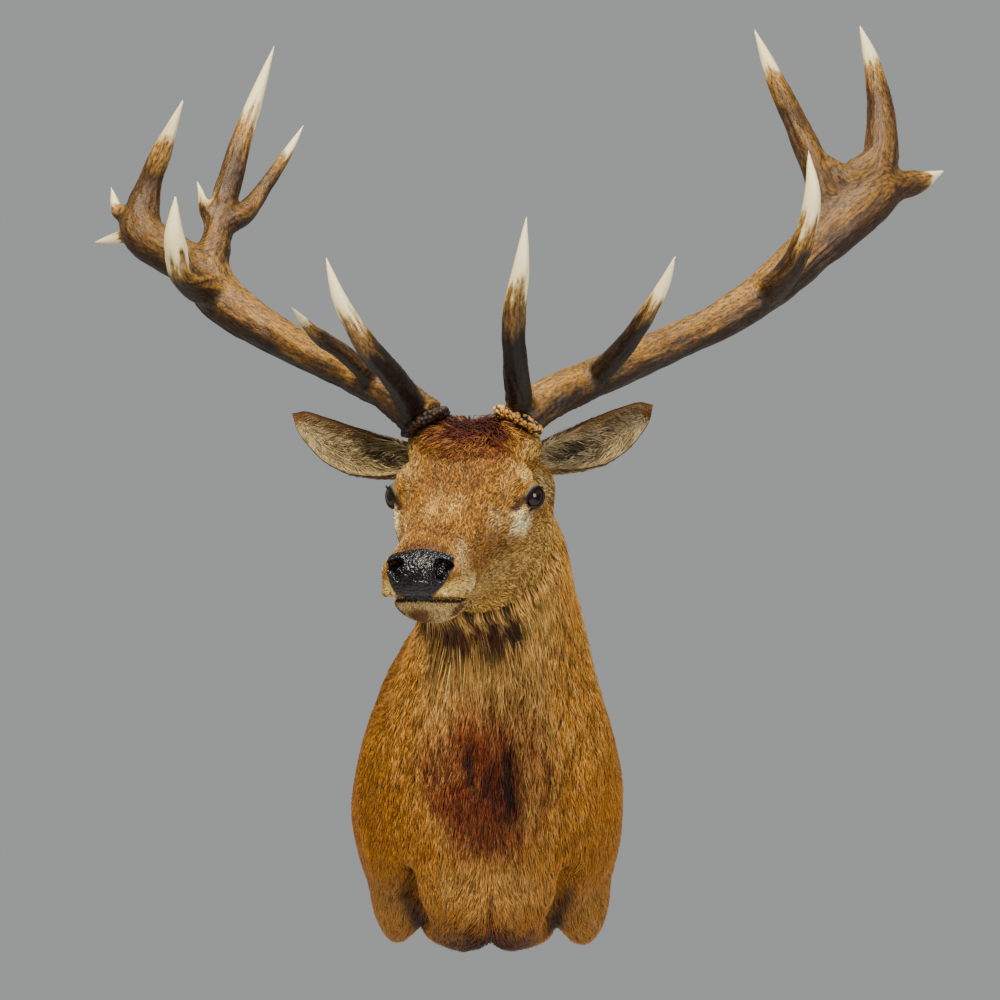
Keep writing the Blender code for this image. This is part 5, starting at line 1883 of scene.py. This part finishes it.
            lift = np.interp(s, (0, 0.4, 1.0), (0.003, 0.002, 0.0008))
        width = np.full(count, 0.0014)
        length = length * (0.7 + 0.6 * chance(count))
        room = np.maximum((1.0 - s) * ear.length, 0.002)
        length = np.minimum(length, room)
        lift = lift * (0.3 + 0.7 * chance(count))
        tone = np.clip(1.05 + 0.42 * spread(count), 0.25, 1.9)
        colour = ear.colour(s, across, inside, points) * tone[:, None]
        bend = 0.15 * spread(count)
        return Tufts(row, column, way, length, width, lift, bend, colour)

    def build(self) -> None:
        """All pieces of the coat, each with no more tufts than the most."""
        material = HAIR.material()
        for salt, (part, count) in enumerate(self.counts):
            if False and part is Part.BODY:
                count //= 2
            tufts = self.grow_body(part, count, salt)
            pieces = -(-count // self.most)
            for k, chosen in enumerate(np.array_split(np.arange(count), pieces)):
                name = f"coat_{part.value}" + (f"_{k + 1}" if pieces > 1 else "")
                CoatPiece(name, self.skin.sheet, tufts.keep(chosen)).build(material)
        for k, ear in enumerate(self.ears):
            for inner, count in ((True, self.ear_inner), (False, self.ear_outer)):
                tufts = self.grow_ear(ear, inner, count, 10 + 2 * k + inner)
                face = "inside" if inner else "outside"
                CoatPiece(f"coat_ear_{ear.side}_{face}", ear.sheet, tufts).build(material)


@dataclass
class Hide:
    """Joins the skin of the body and the ears into one piece."""

    skin: DeerSkin
    ears: tuple[Ear, ...]
    flesh: tuple[str, ...] = (
        ("trunk", "neck", "head", "muzzle", "chin", "foreleg_left", "foreleg_right")
        + ("ear_left", "ear_right")
    )

    def build(self) -> None:
        """One mesh with its colours, its lie map and the nose's own finish."""
        parts = [part.mesh_parts() for part in (self.skin, *self.ears)]
        points, faces = joined([part[:2] for part in parts])
        mesh = mesh_from("deer_skin", points, faces)
        paint(mesh, "Markings", np.vstack([part[2] for part in parts]))
        lie = [part.sheet.flat_lie() for part in (self.skin, *self.ears)]
        unwrap(mesh, "Lie", np.vstack((*lie, np.zeros((faces[1].size, 2)))))
        centres = np.concatenate([points[f].mean(axis=1) for f in faces])
        nose = self.skin.markings.pad(self.skin.form.head.to_local(centres)) > 0.5
        mesh.polygons.foreach_set("material_index", nose.astype(np.int32))
        mesh.update()
        finishes = (HideFinish().material(), NoseFinish().material())
        add_piece("deer_skin", mesh, "red_deer_hide", *finishes, replaced=self.flesh)


# ---------------------------------------------------------------- antlers


class Tine(NamedTuple):
    """A tapered branch, in millimetres (outwards, forwards, up) from the burr."""

    points: tuple
    radii: tuple
    ivory: float = 0.30  # share of its length at the tip that is polished
    darkness: float = 0.0  # 1 is a near black foot


RIGHT_TINES = {
    "lower_beam": Tine(
        ((0, 0, 0), (53, -31, 42), (110, -71, 69), (202, -131, 117), (290, -181, 173),
         (325, -201, 221)),
        (30, 27.5, 25.5, 27, 34, 35), 0, 0
    ),
    "brow_tine": Tine(
        ((12, 4, 12), (40, 74, 54), (74, 134, 95), (103, 169, 147), (121, 179, 202)),
        (19, 16.5, 14.5, 10, 1.2), 0.32, 1
    ),
    "bez_tine": Tine(
        ((62, -36, 46), (104, 14, 85), (145, 64, 114), (172, 114, 144)),
        (15, 12, 9, 1), 0.2, 0.5
    ),
    "tray_tine": Tine(
        ((300, -186, 184), (341, -121, 206), (350, -71, 252), (346, -51, 312)),
        (27, 20.5, 15, 1.2), 0.44, 0
    ),
    "inner_crown": Tine(
        ((318, -198, 215), (309, -216, 276), (300, -226, 328), (281, -236, 403), (254, -241, 484),
         (228, -236, 556)),
        (27, 22, 19, 16.5, 10.5, 1.2), 0.3, 0
    ),
    "outer_crown": Tine(
        ((325, -201, 221), (385, -236, 254), (426, -261, 288), (420, -266, 344), (394, -251, 405),
         (359, -226, 477)),
        (32, 31, 32, 20.5, 14, 1.2), 0.19, 0.2
    ),
    "inner_point": Tine(
        ((293, -221, 298), (268, -251, 318), (248, -281, 354), (218, -306, 406),
         (192, -321, 455)),
        (20, 15, 11, 8, 1), 0.24, 0
    ),
    "inner_spur": Tine(
        ((305, -221, 278), (324, -216, 312), (338, -211, 354)),
        (21, 11, 1), 0.35, 0
    ),
    "upper_spur": Tine(
        ((430, -261, 296), (462, -271, 318), (474, -276, 354)),
        (20, 11, 1), 0.4, 0
    ),
    "side_spur": Tine(
        ((418, -261, 285), (466, -281, 279), (504, -296, 274)),
        (18, 9.5, 1), 0.55, 0
    ),
}
LEFT_TINES = {
    "lower_beam": Tine(
        ((0, 0, 0), (41, -25, 29), (103, -70, 59), (186, -125, 98), (275, -170, 140),
         (357, -205, 193), (419, -225, 250)),
        (30, 27.5, 26, 25.5, 26.5, 30.5, 35), 0, 0
    ),
    "brow_tine": Tine(
        ((-1, 4, 11), (-7, 90, 61), (-10, 145, 121), (-1, 180, 182), (6, 190, 248)),
        (18, 15.5, 15.5, 11, 1.2), 0.3, 1
    ),
    "bez_tine": Tine(
        ((90, -65, 50), (131, -10, 87), (163, 40, 130), (188, 70, 174), (202, 90, 211)),
        (17, 14.5, 12, 8, 1), 0.27, 0.8
    ),
    "tray_tine": Tine(
        ((345, -197, 178), (379, -145, 213), (397, -105, 260), (404, -80, 312), (397, -70, 372)),
        (23, 18, 14, 11.5, 1.2), 0.4, 0
    ),
    "palm": Tine(
        ((419, -225, 250), (471, -240, 296), (512, -253, 330), (548, -268, 352)),
        (35, 39, 38, 26), 0, 0
    ),
    "inner_crown": Tine(
        ((452, -238, 300), (432, -245, 374), (408, -255, 431), (375, -260, 505),
         (343, -255, 579)),
        (28, 21, 18, 14, 1.2), 0.24, 0
    ),
    "outer_crown": Tine(
        ((507, -250, 328), (530, -268, 390), (533, -285, 466), (522, -290, 533),
         (502, -285, 591)),
        (32, 26, 20, 13.5, 1.2), 0.22, 0
    ),
    "crown_web": Tine(
        ((437, -245, 386), (478, -250, 352), (524, -262, 398)),
        (13, 30, 13), 0, 0
    ),
    "side_spur": Tine(
        ((532, -260, 346), (587, -280, 359), (629, -295, 377)),
        (30, 16.5, 1), 0.3, 0
    ),
}


@dataclass
class Antler:
    """One antler: beam and tines grown into a single skin of bone, and its burr."""

    side: str
    sign: float
    tines: dict[str, Tine]
    head: HeadFrame = HEAD
    burr_tilt: Triple = (0.46, 0.20, 0.86)
    burr_radius: float = 0.0372
    burr_thick: float = 0.0175
    burr_grid: tuple[int, int] = (40, 300)
    burr_sink: float = 0.005
    pearl: float = 0.0056  # edge of the cube that holds one pearl
    pearl_rise: float = 0.0040
    sides: int = 28
    step: float = 0.005
    grain: float = 0.0023  # edge of a face of the finished bone
    groove: float = 0.0012
    rounds: int = 36  # of easing at the forks
    at_once: int = 8000  # points measured together, to spare memory
    thinnest: float = 0.0011
    join: float = 0.0060  # over which branches share their grain at a fork
    golden: str = "#886222"
    tan: str = "#523610"
    brown: str = "#2a1c0c"
    black: str = "#0c0603"
    ivory: str = "#e8daa4"
    burr_colours: dict[str, tuple[str, str]] = field(
        default_factory=lambda: {
            "left": ("#c89446", "#180a03"),
            "right": ("#382210", "#0a0502"),
        }
    )

    def seat_world(self) -> Array:
        """World place of the middle of the burr."""
        return self.head.to_world(on_side(BURR_SEAT, self.sign))

    def burr_out(self) -> Array:
        """Unit vector out of the burr."""
        return unit(np.array(self.burr_tilt) * (self.sign, 1.0, 1.0))

    def line(self, tine: Tine) -> tuple[Array, Array]:
        """Places and radii along a branch, at even steps of its curve."""
        table = np.array([(self.sign * x, -y, z) for x, y, z in tine.points]) / 1000
        table = table + self.seat_world()
        length = np.linalg.norm(np.diff(table, axis=0), axis=1).sum()
        at = np.linspace(0, len(table) - 1, max(8, int(length / self.step)))
        path = curve_through(table, at)
        radius = curve_through(np.array(tine.radii) / 1000, at)[:, 0]
        return path, np.maximum(radius, self.thinnest)

    def frames(self, path: Array) -> tuple[Array, Array, Array]:
        """Forward vectors, and two across, made square to a fixed guide."""
        forward = unit(np.gradient(path, axis=0))
        guide = np.array((0.35 * self.sign, -0.93, 0.1))
        across = unit(guide - forward * (forward @ guide)[:, None])
        return forward, across, np.cross(forward, across)

    def tube(self, tine: Tine) -> tuple[Array, list[Array]]:
        """A closed tube round a branch, with a rounded foot and tip."""
        path, radius = self.line(tine)
        forward, a, b = self.frames(path)
        turn = full_turn(self.sides)[None, :, None]
        ring = np.cos(turn) * a[:, None] + np.sin(turn) * b[:, None]
        grid = path[:, None] + radius[:, None, None] * ring
        foot = path[0] - forward[0] * radius[0] * 0.5
        points, faces = closed_tube(grid, foot, path[-1] + forward[-1] * radius[-1])
        return points, outwards(points, faces)

    def grown_together(self) -> Mesh:
        """All branches as one closed skin of small even faces."""
        tubes = [self.tube(tine) for tine in self.tines.values()]
        body = show("bone", mesh_from("bone", *joined(tubes)))
        remesh = body.modifiers.new("even faces", "REMESH")
        remesh.mode = "VOXEL"
        remesh.voxel_size = self.grain
        remesh.use_smooth_shade = True
        relax = body.modifiers.new("rounded steps", "SMOOTH")
        relax.factor, relax.iterations = 0.5, 4
        bpy.context.view_layer.update()
        graph = bpy.context.evaluated_depsgraph_get()
        finished = bpy.data.meshes.new_from_object(body.evaluated_get(graph))
        bpy.data.objects.remove(body)
        return finished

    def near(self, points: Array) -> dict[str, Array]:
        """Where each point lies beside each branch.

        Args:
            points: of the bone.

        Returns:
            Arrays of branches by points: "gap" from the branch's skin, "share" and
            "run" along it, its "radius" there, and "a" and "b" across it.
        """
        found: dict[str, list[Array]] = {}
        walked = np.zeros((0, 4))
        for tine in self.tines.values():
            path, radius = self.line(tine)
            forward, a, b = self.frames(path)
            step = np.linalg.norm(np.diff(path, axis=0), axis=1)
            far = np.concatenate(([0.0], np.cumsum(step)))
            gone = np.linalg.norm(walked[:, :3] - path[0], axis=1)
            start = walked[gone.argmin(), 3] if len(walked) else 0.0
            walked = np.vstack((walked, np.column_stack((path, far + start))))
            gaps = [
                np.linalg.norm(piece[:, None] - path[None], axis=-1) - radius
                for piece in np.array_split(points, max(1, len(points) // self.at_once))
            ]
            best = np.concatenate([gap.argmin(axis=1) for gap in gaps])
            away = points - path[best]
            along = far[best] + dot(away, forward[best])
            for name, value in (
                ("gap", np.concatenate([gap.min(axis=1) for gap in gaps])),
                ("share", along / far[-1]),
                ("run", along + start),
                ("radius", radius[best]),
                ("a", dot(away, a[best])),
                ("b", dot(away, b[best])),
            ):
                found.setdefault(name, []).append(value)
        return {name: np.array(rows) for name, rows in found.items()}

    def eased(self, mesh: Mesh, points: Array, fork: Array) -> Array:
        """Rounds the forks: each point there moves to the mean of its neighbours.

        Args:
            mesh: the bone, for its edges.
            points: places of its vertices.
            fork: 1 where it is to be rounded fully.

        Returns:
            The new places.
        """
        ends = np.empty(len(mesh.edges) * 2, np.int32)
        mesh.edges.foreach_get("vertices", ends)
        one, two = ends.reshape(-1, 2).T
        count = len(points)
        degree = np.bincount(one, minlength=count) + np.bincount(two, minlength=count)
        for _ in range(self.rounds):
            total = np.stack(
                [
                    np.bincount(one, points[two, k], count)
                    + np.bincount(two, points[one, k], count)
                    for k in range(3)
                ],
                axis=-1,
            )
            points = blend(points, total / degree[:, None], 0.8 * fork)
        return points

    def grain_noise(
        self, near: dict[str, Array], weight: Array, size: float, long: float, seed: int
    ) -> Array:
        """Noise stretched along the branches, shared by them at a fork.

        Args:
            near: where the points lie.
            weight: share of each branch in each point.
            size: across the grain.
            long: how many times longer it is along the grain.
            seed: picks another pattern.

        Returns:
            One number for each point, about as wide as from -1 to 1.
        """
        total = np.zeros(weight.shape[1])
        for k, share in enumerate(weight):
            on = share > 0.02
            rolled = [near[name][k][on] for name in ("a", "b", "run")]
            rolled[2] = rolled[2] / long
            total[on] += share[on] * ragged(np.stack(rolled, axis=-1), size, seed)
        return total / np.sqrt((weight**2).sum(axis=0))

    def build(self, material: Material) -> None:
        """Grooves and colours the bone, and adds the burr.

        Grooves are noise that is stretched along the branch.  Colour runs from gold
        on the ridges to dark brown in the grooves, and to ivory at the last part of
        each tine.  Painted highlight lightens the faces that turn up and forward, and
        painted shade darkens those underneath, partly the bone's own darker underside.

        Args:
            material: finish of the bone.
        """
        mesh = self.grown_together()
        points = self.at_vertices(mesh, "co")
        near = self.near(points)
        gap = np.sort(near["gap"], axis=0)
        points = self.eased(mesh, points, ease(0.016, 0.003, gap[1] - gap[0]))
        self.move(mesh, points)
        normal = self.at_vertices(mesh, "normal")
        weight = np.exp(-(near["gap"] - gap[0]) / self.join)
        weight = weight / weight.sum(axis=0)

        def shared(values: Array) -> Array:
            """A value of the branches, shared at the forks."""
            return (weight * values).sum(axis=0)

        def of(name: str) -> Array:
            """One number of each tine, as a column."""
            return np.array([getattr(t, name) for t in self.tines.values()])[:, None]

        broad = self.grain_noise(near, weight, 0.0085, 12.0, 50)
        coarse = self.grain_noise(near, weight, 0.0048, 12.0, 51)
        fine = self.grain_noise(near, weight, 0.0028, 6.0, 52)
        wander = self.grain_noise(near, weight, 0.0060, 5.0, 54)
        start = 1.0 - of("ivory") * (1.0 + 0.22 * wander + 0.20 * coarse + 0.16 * fine)
        past = np.where(of("ivory") > 0, near["share"] - start, -1.0)
        polish = shared(ease(-0.04, 0.08, past))
        halo = shared(ease(-0.20, 0.0, past))
        seat = self.seat_world()
        from_seat = np.linalg.norm(points - seat, axis=1)
        pearly = pebbles(points, 0.0065, 53) * ease(0.20, 0.06, from_seat)
        move = self.groove * (0.9 * broad + 0.9 * coarse + 0.5 * fine)
        move = move + 0.0014 * ragged(points, 0.028, 58) + 0.0012 * pearly
        move = move * (1.0 - polish) * ease(0.003, 0.012, shared(near["radius"]))
        points = points + normal * move[:, None]
        self.move(mesh, points)
        ridge = 0.5 + 0.5 * np.clip(0.6 * broad + 0.8 * coarse + 0.6 * fine, -1, 1)
        colour = blend(linear(self.brown), linear(self.tan), ease(0.15, 0.60, ridge))
        colour = over(colour, self.golden, 0.9 * ease(0.55, 0.95, ridge))
        # painted highlight: gold on faces that turn up and towards the front
        lit = ease(0.45, 1.1, normal[:, 2] - 0.6 * normal[:, 1])
        colour = blend(colour, linear(self.golden) * 1.2, 0.52 * lit)
        # painted shade on faces that turn down, partly the bone's own darker underside
        under = ease(0.20, -0.55, normal[:, 2] - 0.1 * normal[:, 1])
        colour = blend(colour, linear(self.brown) * 0.55, 0.88 * under)
        stain = ease(0.0, 0.6, ragged(points, 0.045, 56) + 0.5 * wander)
        crown = ease(0.20, 0.34, points[:, 2] - seat[2])
        colour = over(colour, self.brown, (0.40 + 0.45 * crown) * stain)
        colour = over(colour, "#422d14", 0.52 * crown)
        foot = shared(of("darkness") * ease(0.85, 0.50, near["share"] + 0.10 * wander))
        colour = over(colour, self.black, 0.90 * foot)
        colour = over(colour, "#987030", 0.80 * halo * (1 - 0.5 * foot))
        colour = over(colour, self.ivory, polish)
        spots = [shared(near[name]) for name in ("a", "b", "run")]
        self.finish(mesh, colour, polish, np.stack(spots, axis=-1))
        mesh.materials.clear()
        name = f"antler_{self.side}"
        replaced = [f"{name}_{part}" for part in self.tines]
        add_piece(name, mesh, "antler_bone", material, replaced=replaced)
        self.burr(material)

    @staticmethod
    def at_vertices(mesh: Mesh, name: str) -> Array:
        """Places or normals of the vertices."""
        flat = np.empty(len(mesh.vertices) * 3, np.float32)
        mesh.vertices.foreach_get(name, flat)
        return flat.reshape(-1, 3).astype(float)

    @staticmethod
    def move(mesh: Mesh, points: Array) -> None:
        """Moves the vertices to new places."""
        mesh.vertices.foreach_set("co", points.astype(np.float32).ravel())
        mesh.update()

    @staticmethod
    def finish(mesh: Mesh, colour: Array, polish: Array, grain: Array) -> None:
        """Stores what the finish of the bone reads at each vertex."""
        paint(mesh, "Markings", colour)
        layer = mesh.attributes.new("Polish", "FLOAT", "POINT")
        layer.data.foreach_set("value", polish.astype(np.float32))
        layer = mesh.attributes.new("Grain", "FLOAT_VECTOR", "POINT")
        layer.data.foreach_set("vector", grain.astype(np.float32).ravel())

    def burr(self, material: Material) -> None:
        """A round collar of pearls.

        An egg, squared at its rim, is raised by domes round scattered places.  The
        domes are drawn out along the way out of the burr.

        Args:
            material: finish of the bone.
        """
        out, seat = self.burr_out(), self.seat_world()
        a = unit(np.cross(out, (0.0, 1.0, 0.0)))
        b = np.cross(out, a)
        rows, columns = self.burr_grid
        polar = np.linspace(0, math.pi, rows + 2)[1:-1, None]
        turn = full_turn(columns)[None, :]
        rim = np.sin(polar) ** 0.55
        uneven = 1.0 + 0.05 * np.sin(3 * turn + 1.0) + 0.03 * np.sin(7 * turn)
        wide = 0.90 * self.burr_radius * rim * uneven
        high = self.burr_thick / 2 * np.cos(polar) * (1.0 + 0.10 * np.sin(5 * turn))
        spot = np.stack((wide * np.cos(turn), wide * np.sin(turn), high), axis=-1)
        dome = pebbles(spot * (1.0, 1.0, 0.50), self.pearl, 61)
        dome = dome * ease(0.30, 0.75, rim)
        spot = spot + dome[..., None] * self.pearl_rise * unit(spot * (1.0, 1.0, 0.6))
        grid = seat - self.burr_sink * out + spot @ np.array((a, b, out))
        points, faces = closed_tube(grid, grid[0].mean(axis=0), grid[-1].mean(axis=0))
        mesh = mesh_from(f"burr_{self.side}", points, outwards(points, faces))
        bright, dark = self.burr_colours[self.side]
        shade = ease(0.38, 0.80, dome + 0.12 * ragged(grid, 0.004, 62)).ravel()
        shade = np.concatenate((shade, (0.0, 0.0)))
        colour = blend(linear(dark), linear(bright), shade)
        self.finish(mesh, colour, 0 * shade, points)
        replaced = [f"antler_{self.side}_burr"]
        add_piece(f"burr_{self.side}", mesh, "antler_bone", material, replaced=replaced)


# ---------------------------------------------------------------- board and studio


@dataclass
class BackBoard:
    """The plywood back, kept from the frame with a finish of its own."""

    def build(self, nodes: dict[str, bpy.types.Object]) -> None:
        """Dresses the board; its shape is already right."""
        board = nodes["back_board"]
        board.data.materials.clear()
        board.data.materials.append(PlywoodFinish().material())
        LOG.info("back_board: kept")


class Lamp(NamedTuple):
    """A soft box: a square area light."""

    name: str
    place: Triple
    size: float
    power: float
    colour: str


@dataclass
class Studio:
    """Pale floor, soft light and the camera."""

    floor_height: float = -1.30
    floor_size: float = 6.0
    target: Triple = (0.019, -0.40, 0.30)
    camera_place: Triple = (0.019, -3.50, 0.390)
    lens: float = 80.0
    sky: str = "#d4d6d6"
    sky_strength: float = 0.52
    lamps: tuple[Lamp, ...] = (
        Lamp("key_box", (-1.1, -3.0, 2.9), 0.6, 245.0, "#fff3e2"),
        Lamp("fill_box", (2.3, -3.2, 0.7), 1.6, 105.0, "#fbf8ff"),
        Lamp("top_box", (0.2, -0.8, 3.2), 1.2, 60.0, "#ffffff"),
    )

    def build(self) -> None:
        """Floor, lamps, sky and camera."""
        low, high, level = -self.floor_size / 2, self.floor_size / 2, self.floor_height
        square = ((low, low), (high, low), (high, high), (low, high))
        corners = np.array([(*corner, level) for corner in square])
        mesh = mesh_from("floor", corners, [np.array([[0, 1, 2, 3]])], smooth=False)
        show("floor", mesh, PaperFinish().material())
        for lamp in self.lamps:
            self.add_lamp(lamp)
        self.add_sky()
        self.add_camera()
        LOG.info("studio: floor, %d lamps, camera", len(self.lamps))

    def add_lamp(self, lamp: Lamp) -> None:
        """An area light turned at the target."""
        data = bpy.data.lights.new(lamp.name, "AREA")
        data.size, data.energy = lamp.size, lamp.power
        data.color = tuple(linear(lamp.colour))
        made = bpy.data.objects.new(lamp.name, data)
        made.location = lamp.place
        made.rotation_euler = self.aim(lamp.place, self.target)
        bpy.context.scene.collection.objects.link(made)

    @staticmethod
    def aim(place: Sequence, target: Sequence) -> Triple:
        """Euler angles that turn -Z from the place to the target."""
        x, y, z = np.array(target) - np.array(place)
        return (math.atan2(math.hypot(x, y), -z), 0.0, math.atan2(y, x) - math.pi / 2)

    def add_sky(self) -> None:
        """An even pale surround."""
        world = bpy.data.worlds.new("studio")
        world.use_nodes = True
        sky = world.node_tree.nodes["Background"]
        sky.inputs["Color"].default_value = rgba(self.sky)
        sky.inputs["Strength"].default_value = self.sky_strength
        bpy.context.scene.world = world

    def add_camera(self) -> None:
        """Level with the stag's eyes and square to the wall."""
        data = bpy.data.cameras.new("camera")
        data.lens, data.sensor_width = self.lens, 36.0
        made = bpy.data.objects.new("camera", data)
        made.location = self.camera_place
        made.rotation_euler = (math.pi / 2, 0.0, 0.0)
        bpy.context.scene.collection.objects.link(made)
        bpy.context.scene.camera = made


def main() -> None:
    """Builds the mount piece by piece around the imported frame."""
    logging.basicConfig(level=logging.INFO, format="%(name)s: %(message)s")
    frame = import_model()
    form = BodyForm()
    skin = DeerSkin(form=form)
    ears = (
        Ear("right", -1.0, 0.216, math.radians(18.5), 0.021),
        Ear("left", 1.0, 0.196, math.radians(24.0), 0.014),
    )
    Hide(skin, ears).build()
    Coat(skin, ears).build()
    for side, eye in zip(("right", "left"), skin.eyes):
        GlassEye(eye, side).build()
    bone = BoneFinish().material()
    Antler("right", -1.0, RIGHT_TINES).build(bone)
    Antler("left", 1.0, LEFT_TINES).build(bone)
    BackBoard().build(frame["nodes"])
    Studio().build()


if __name__ == "__main__":
    main()
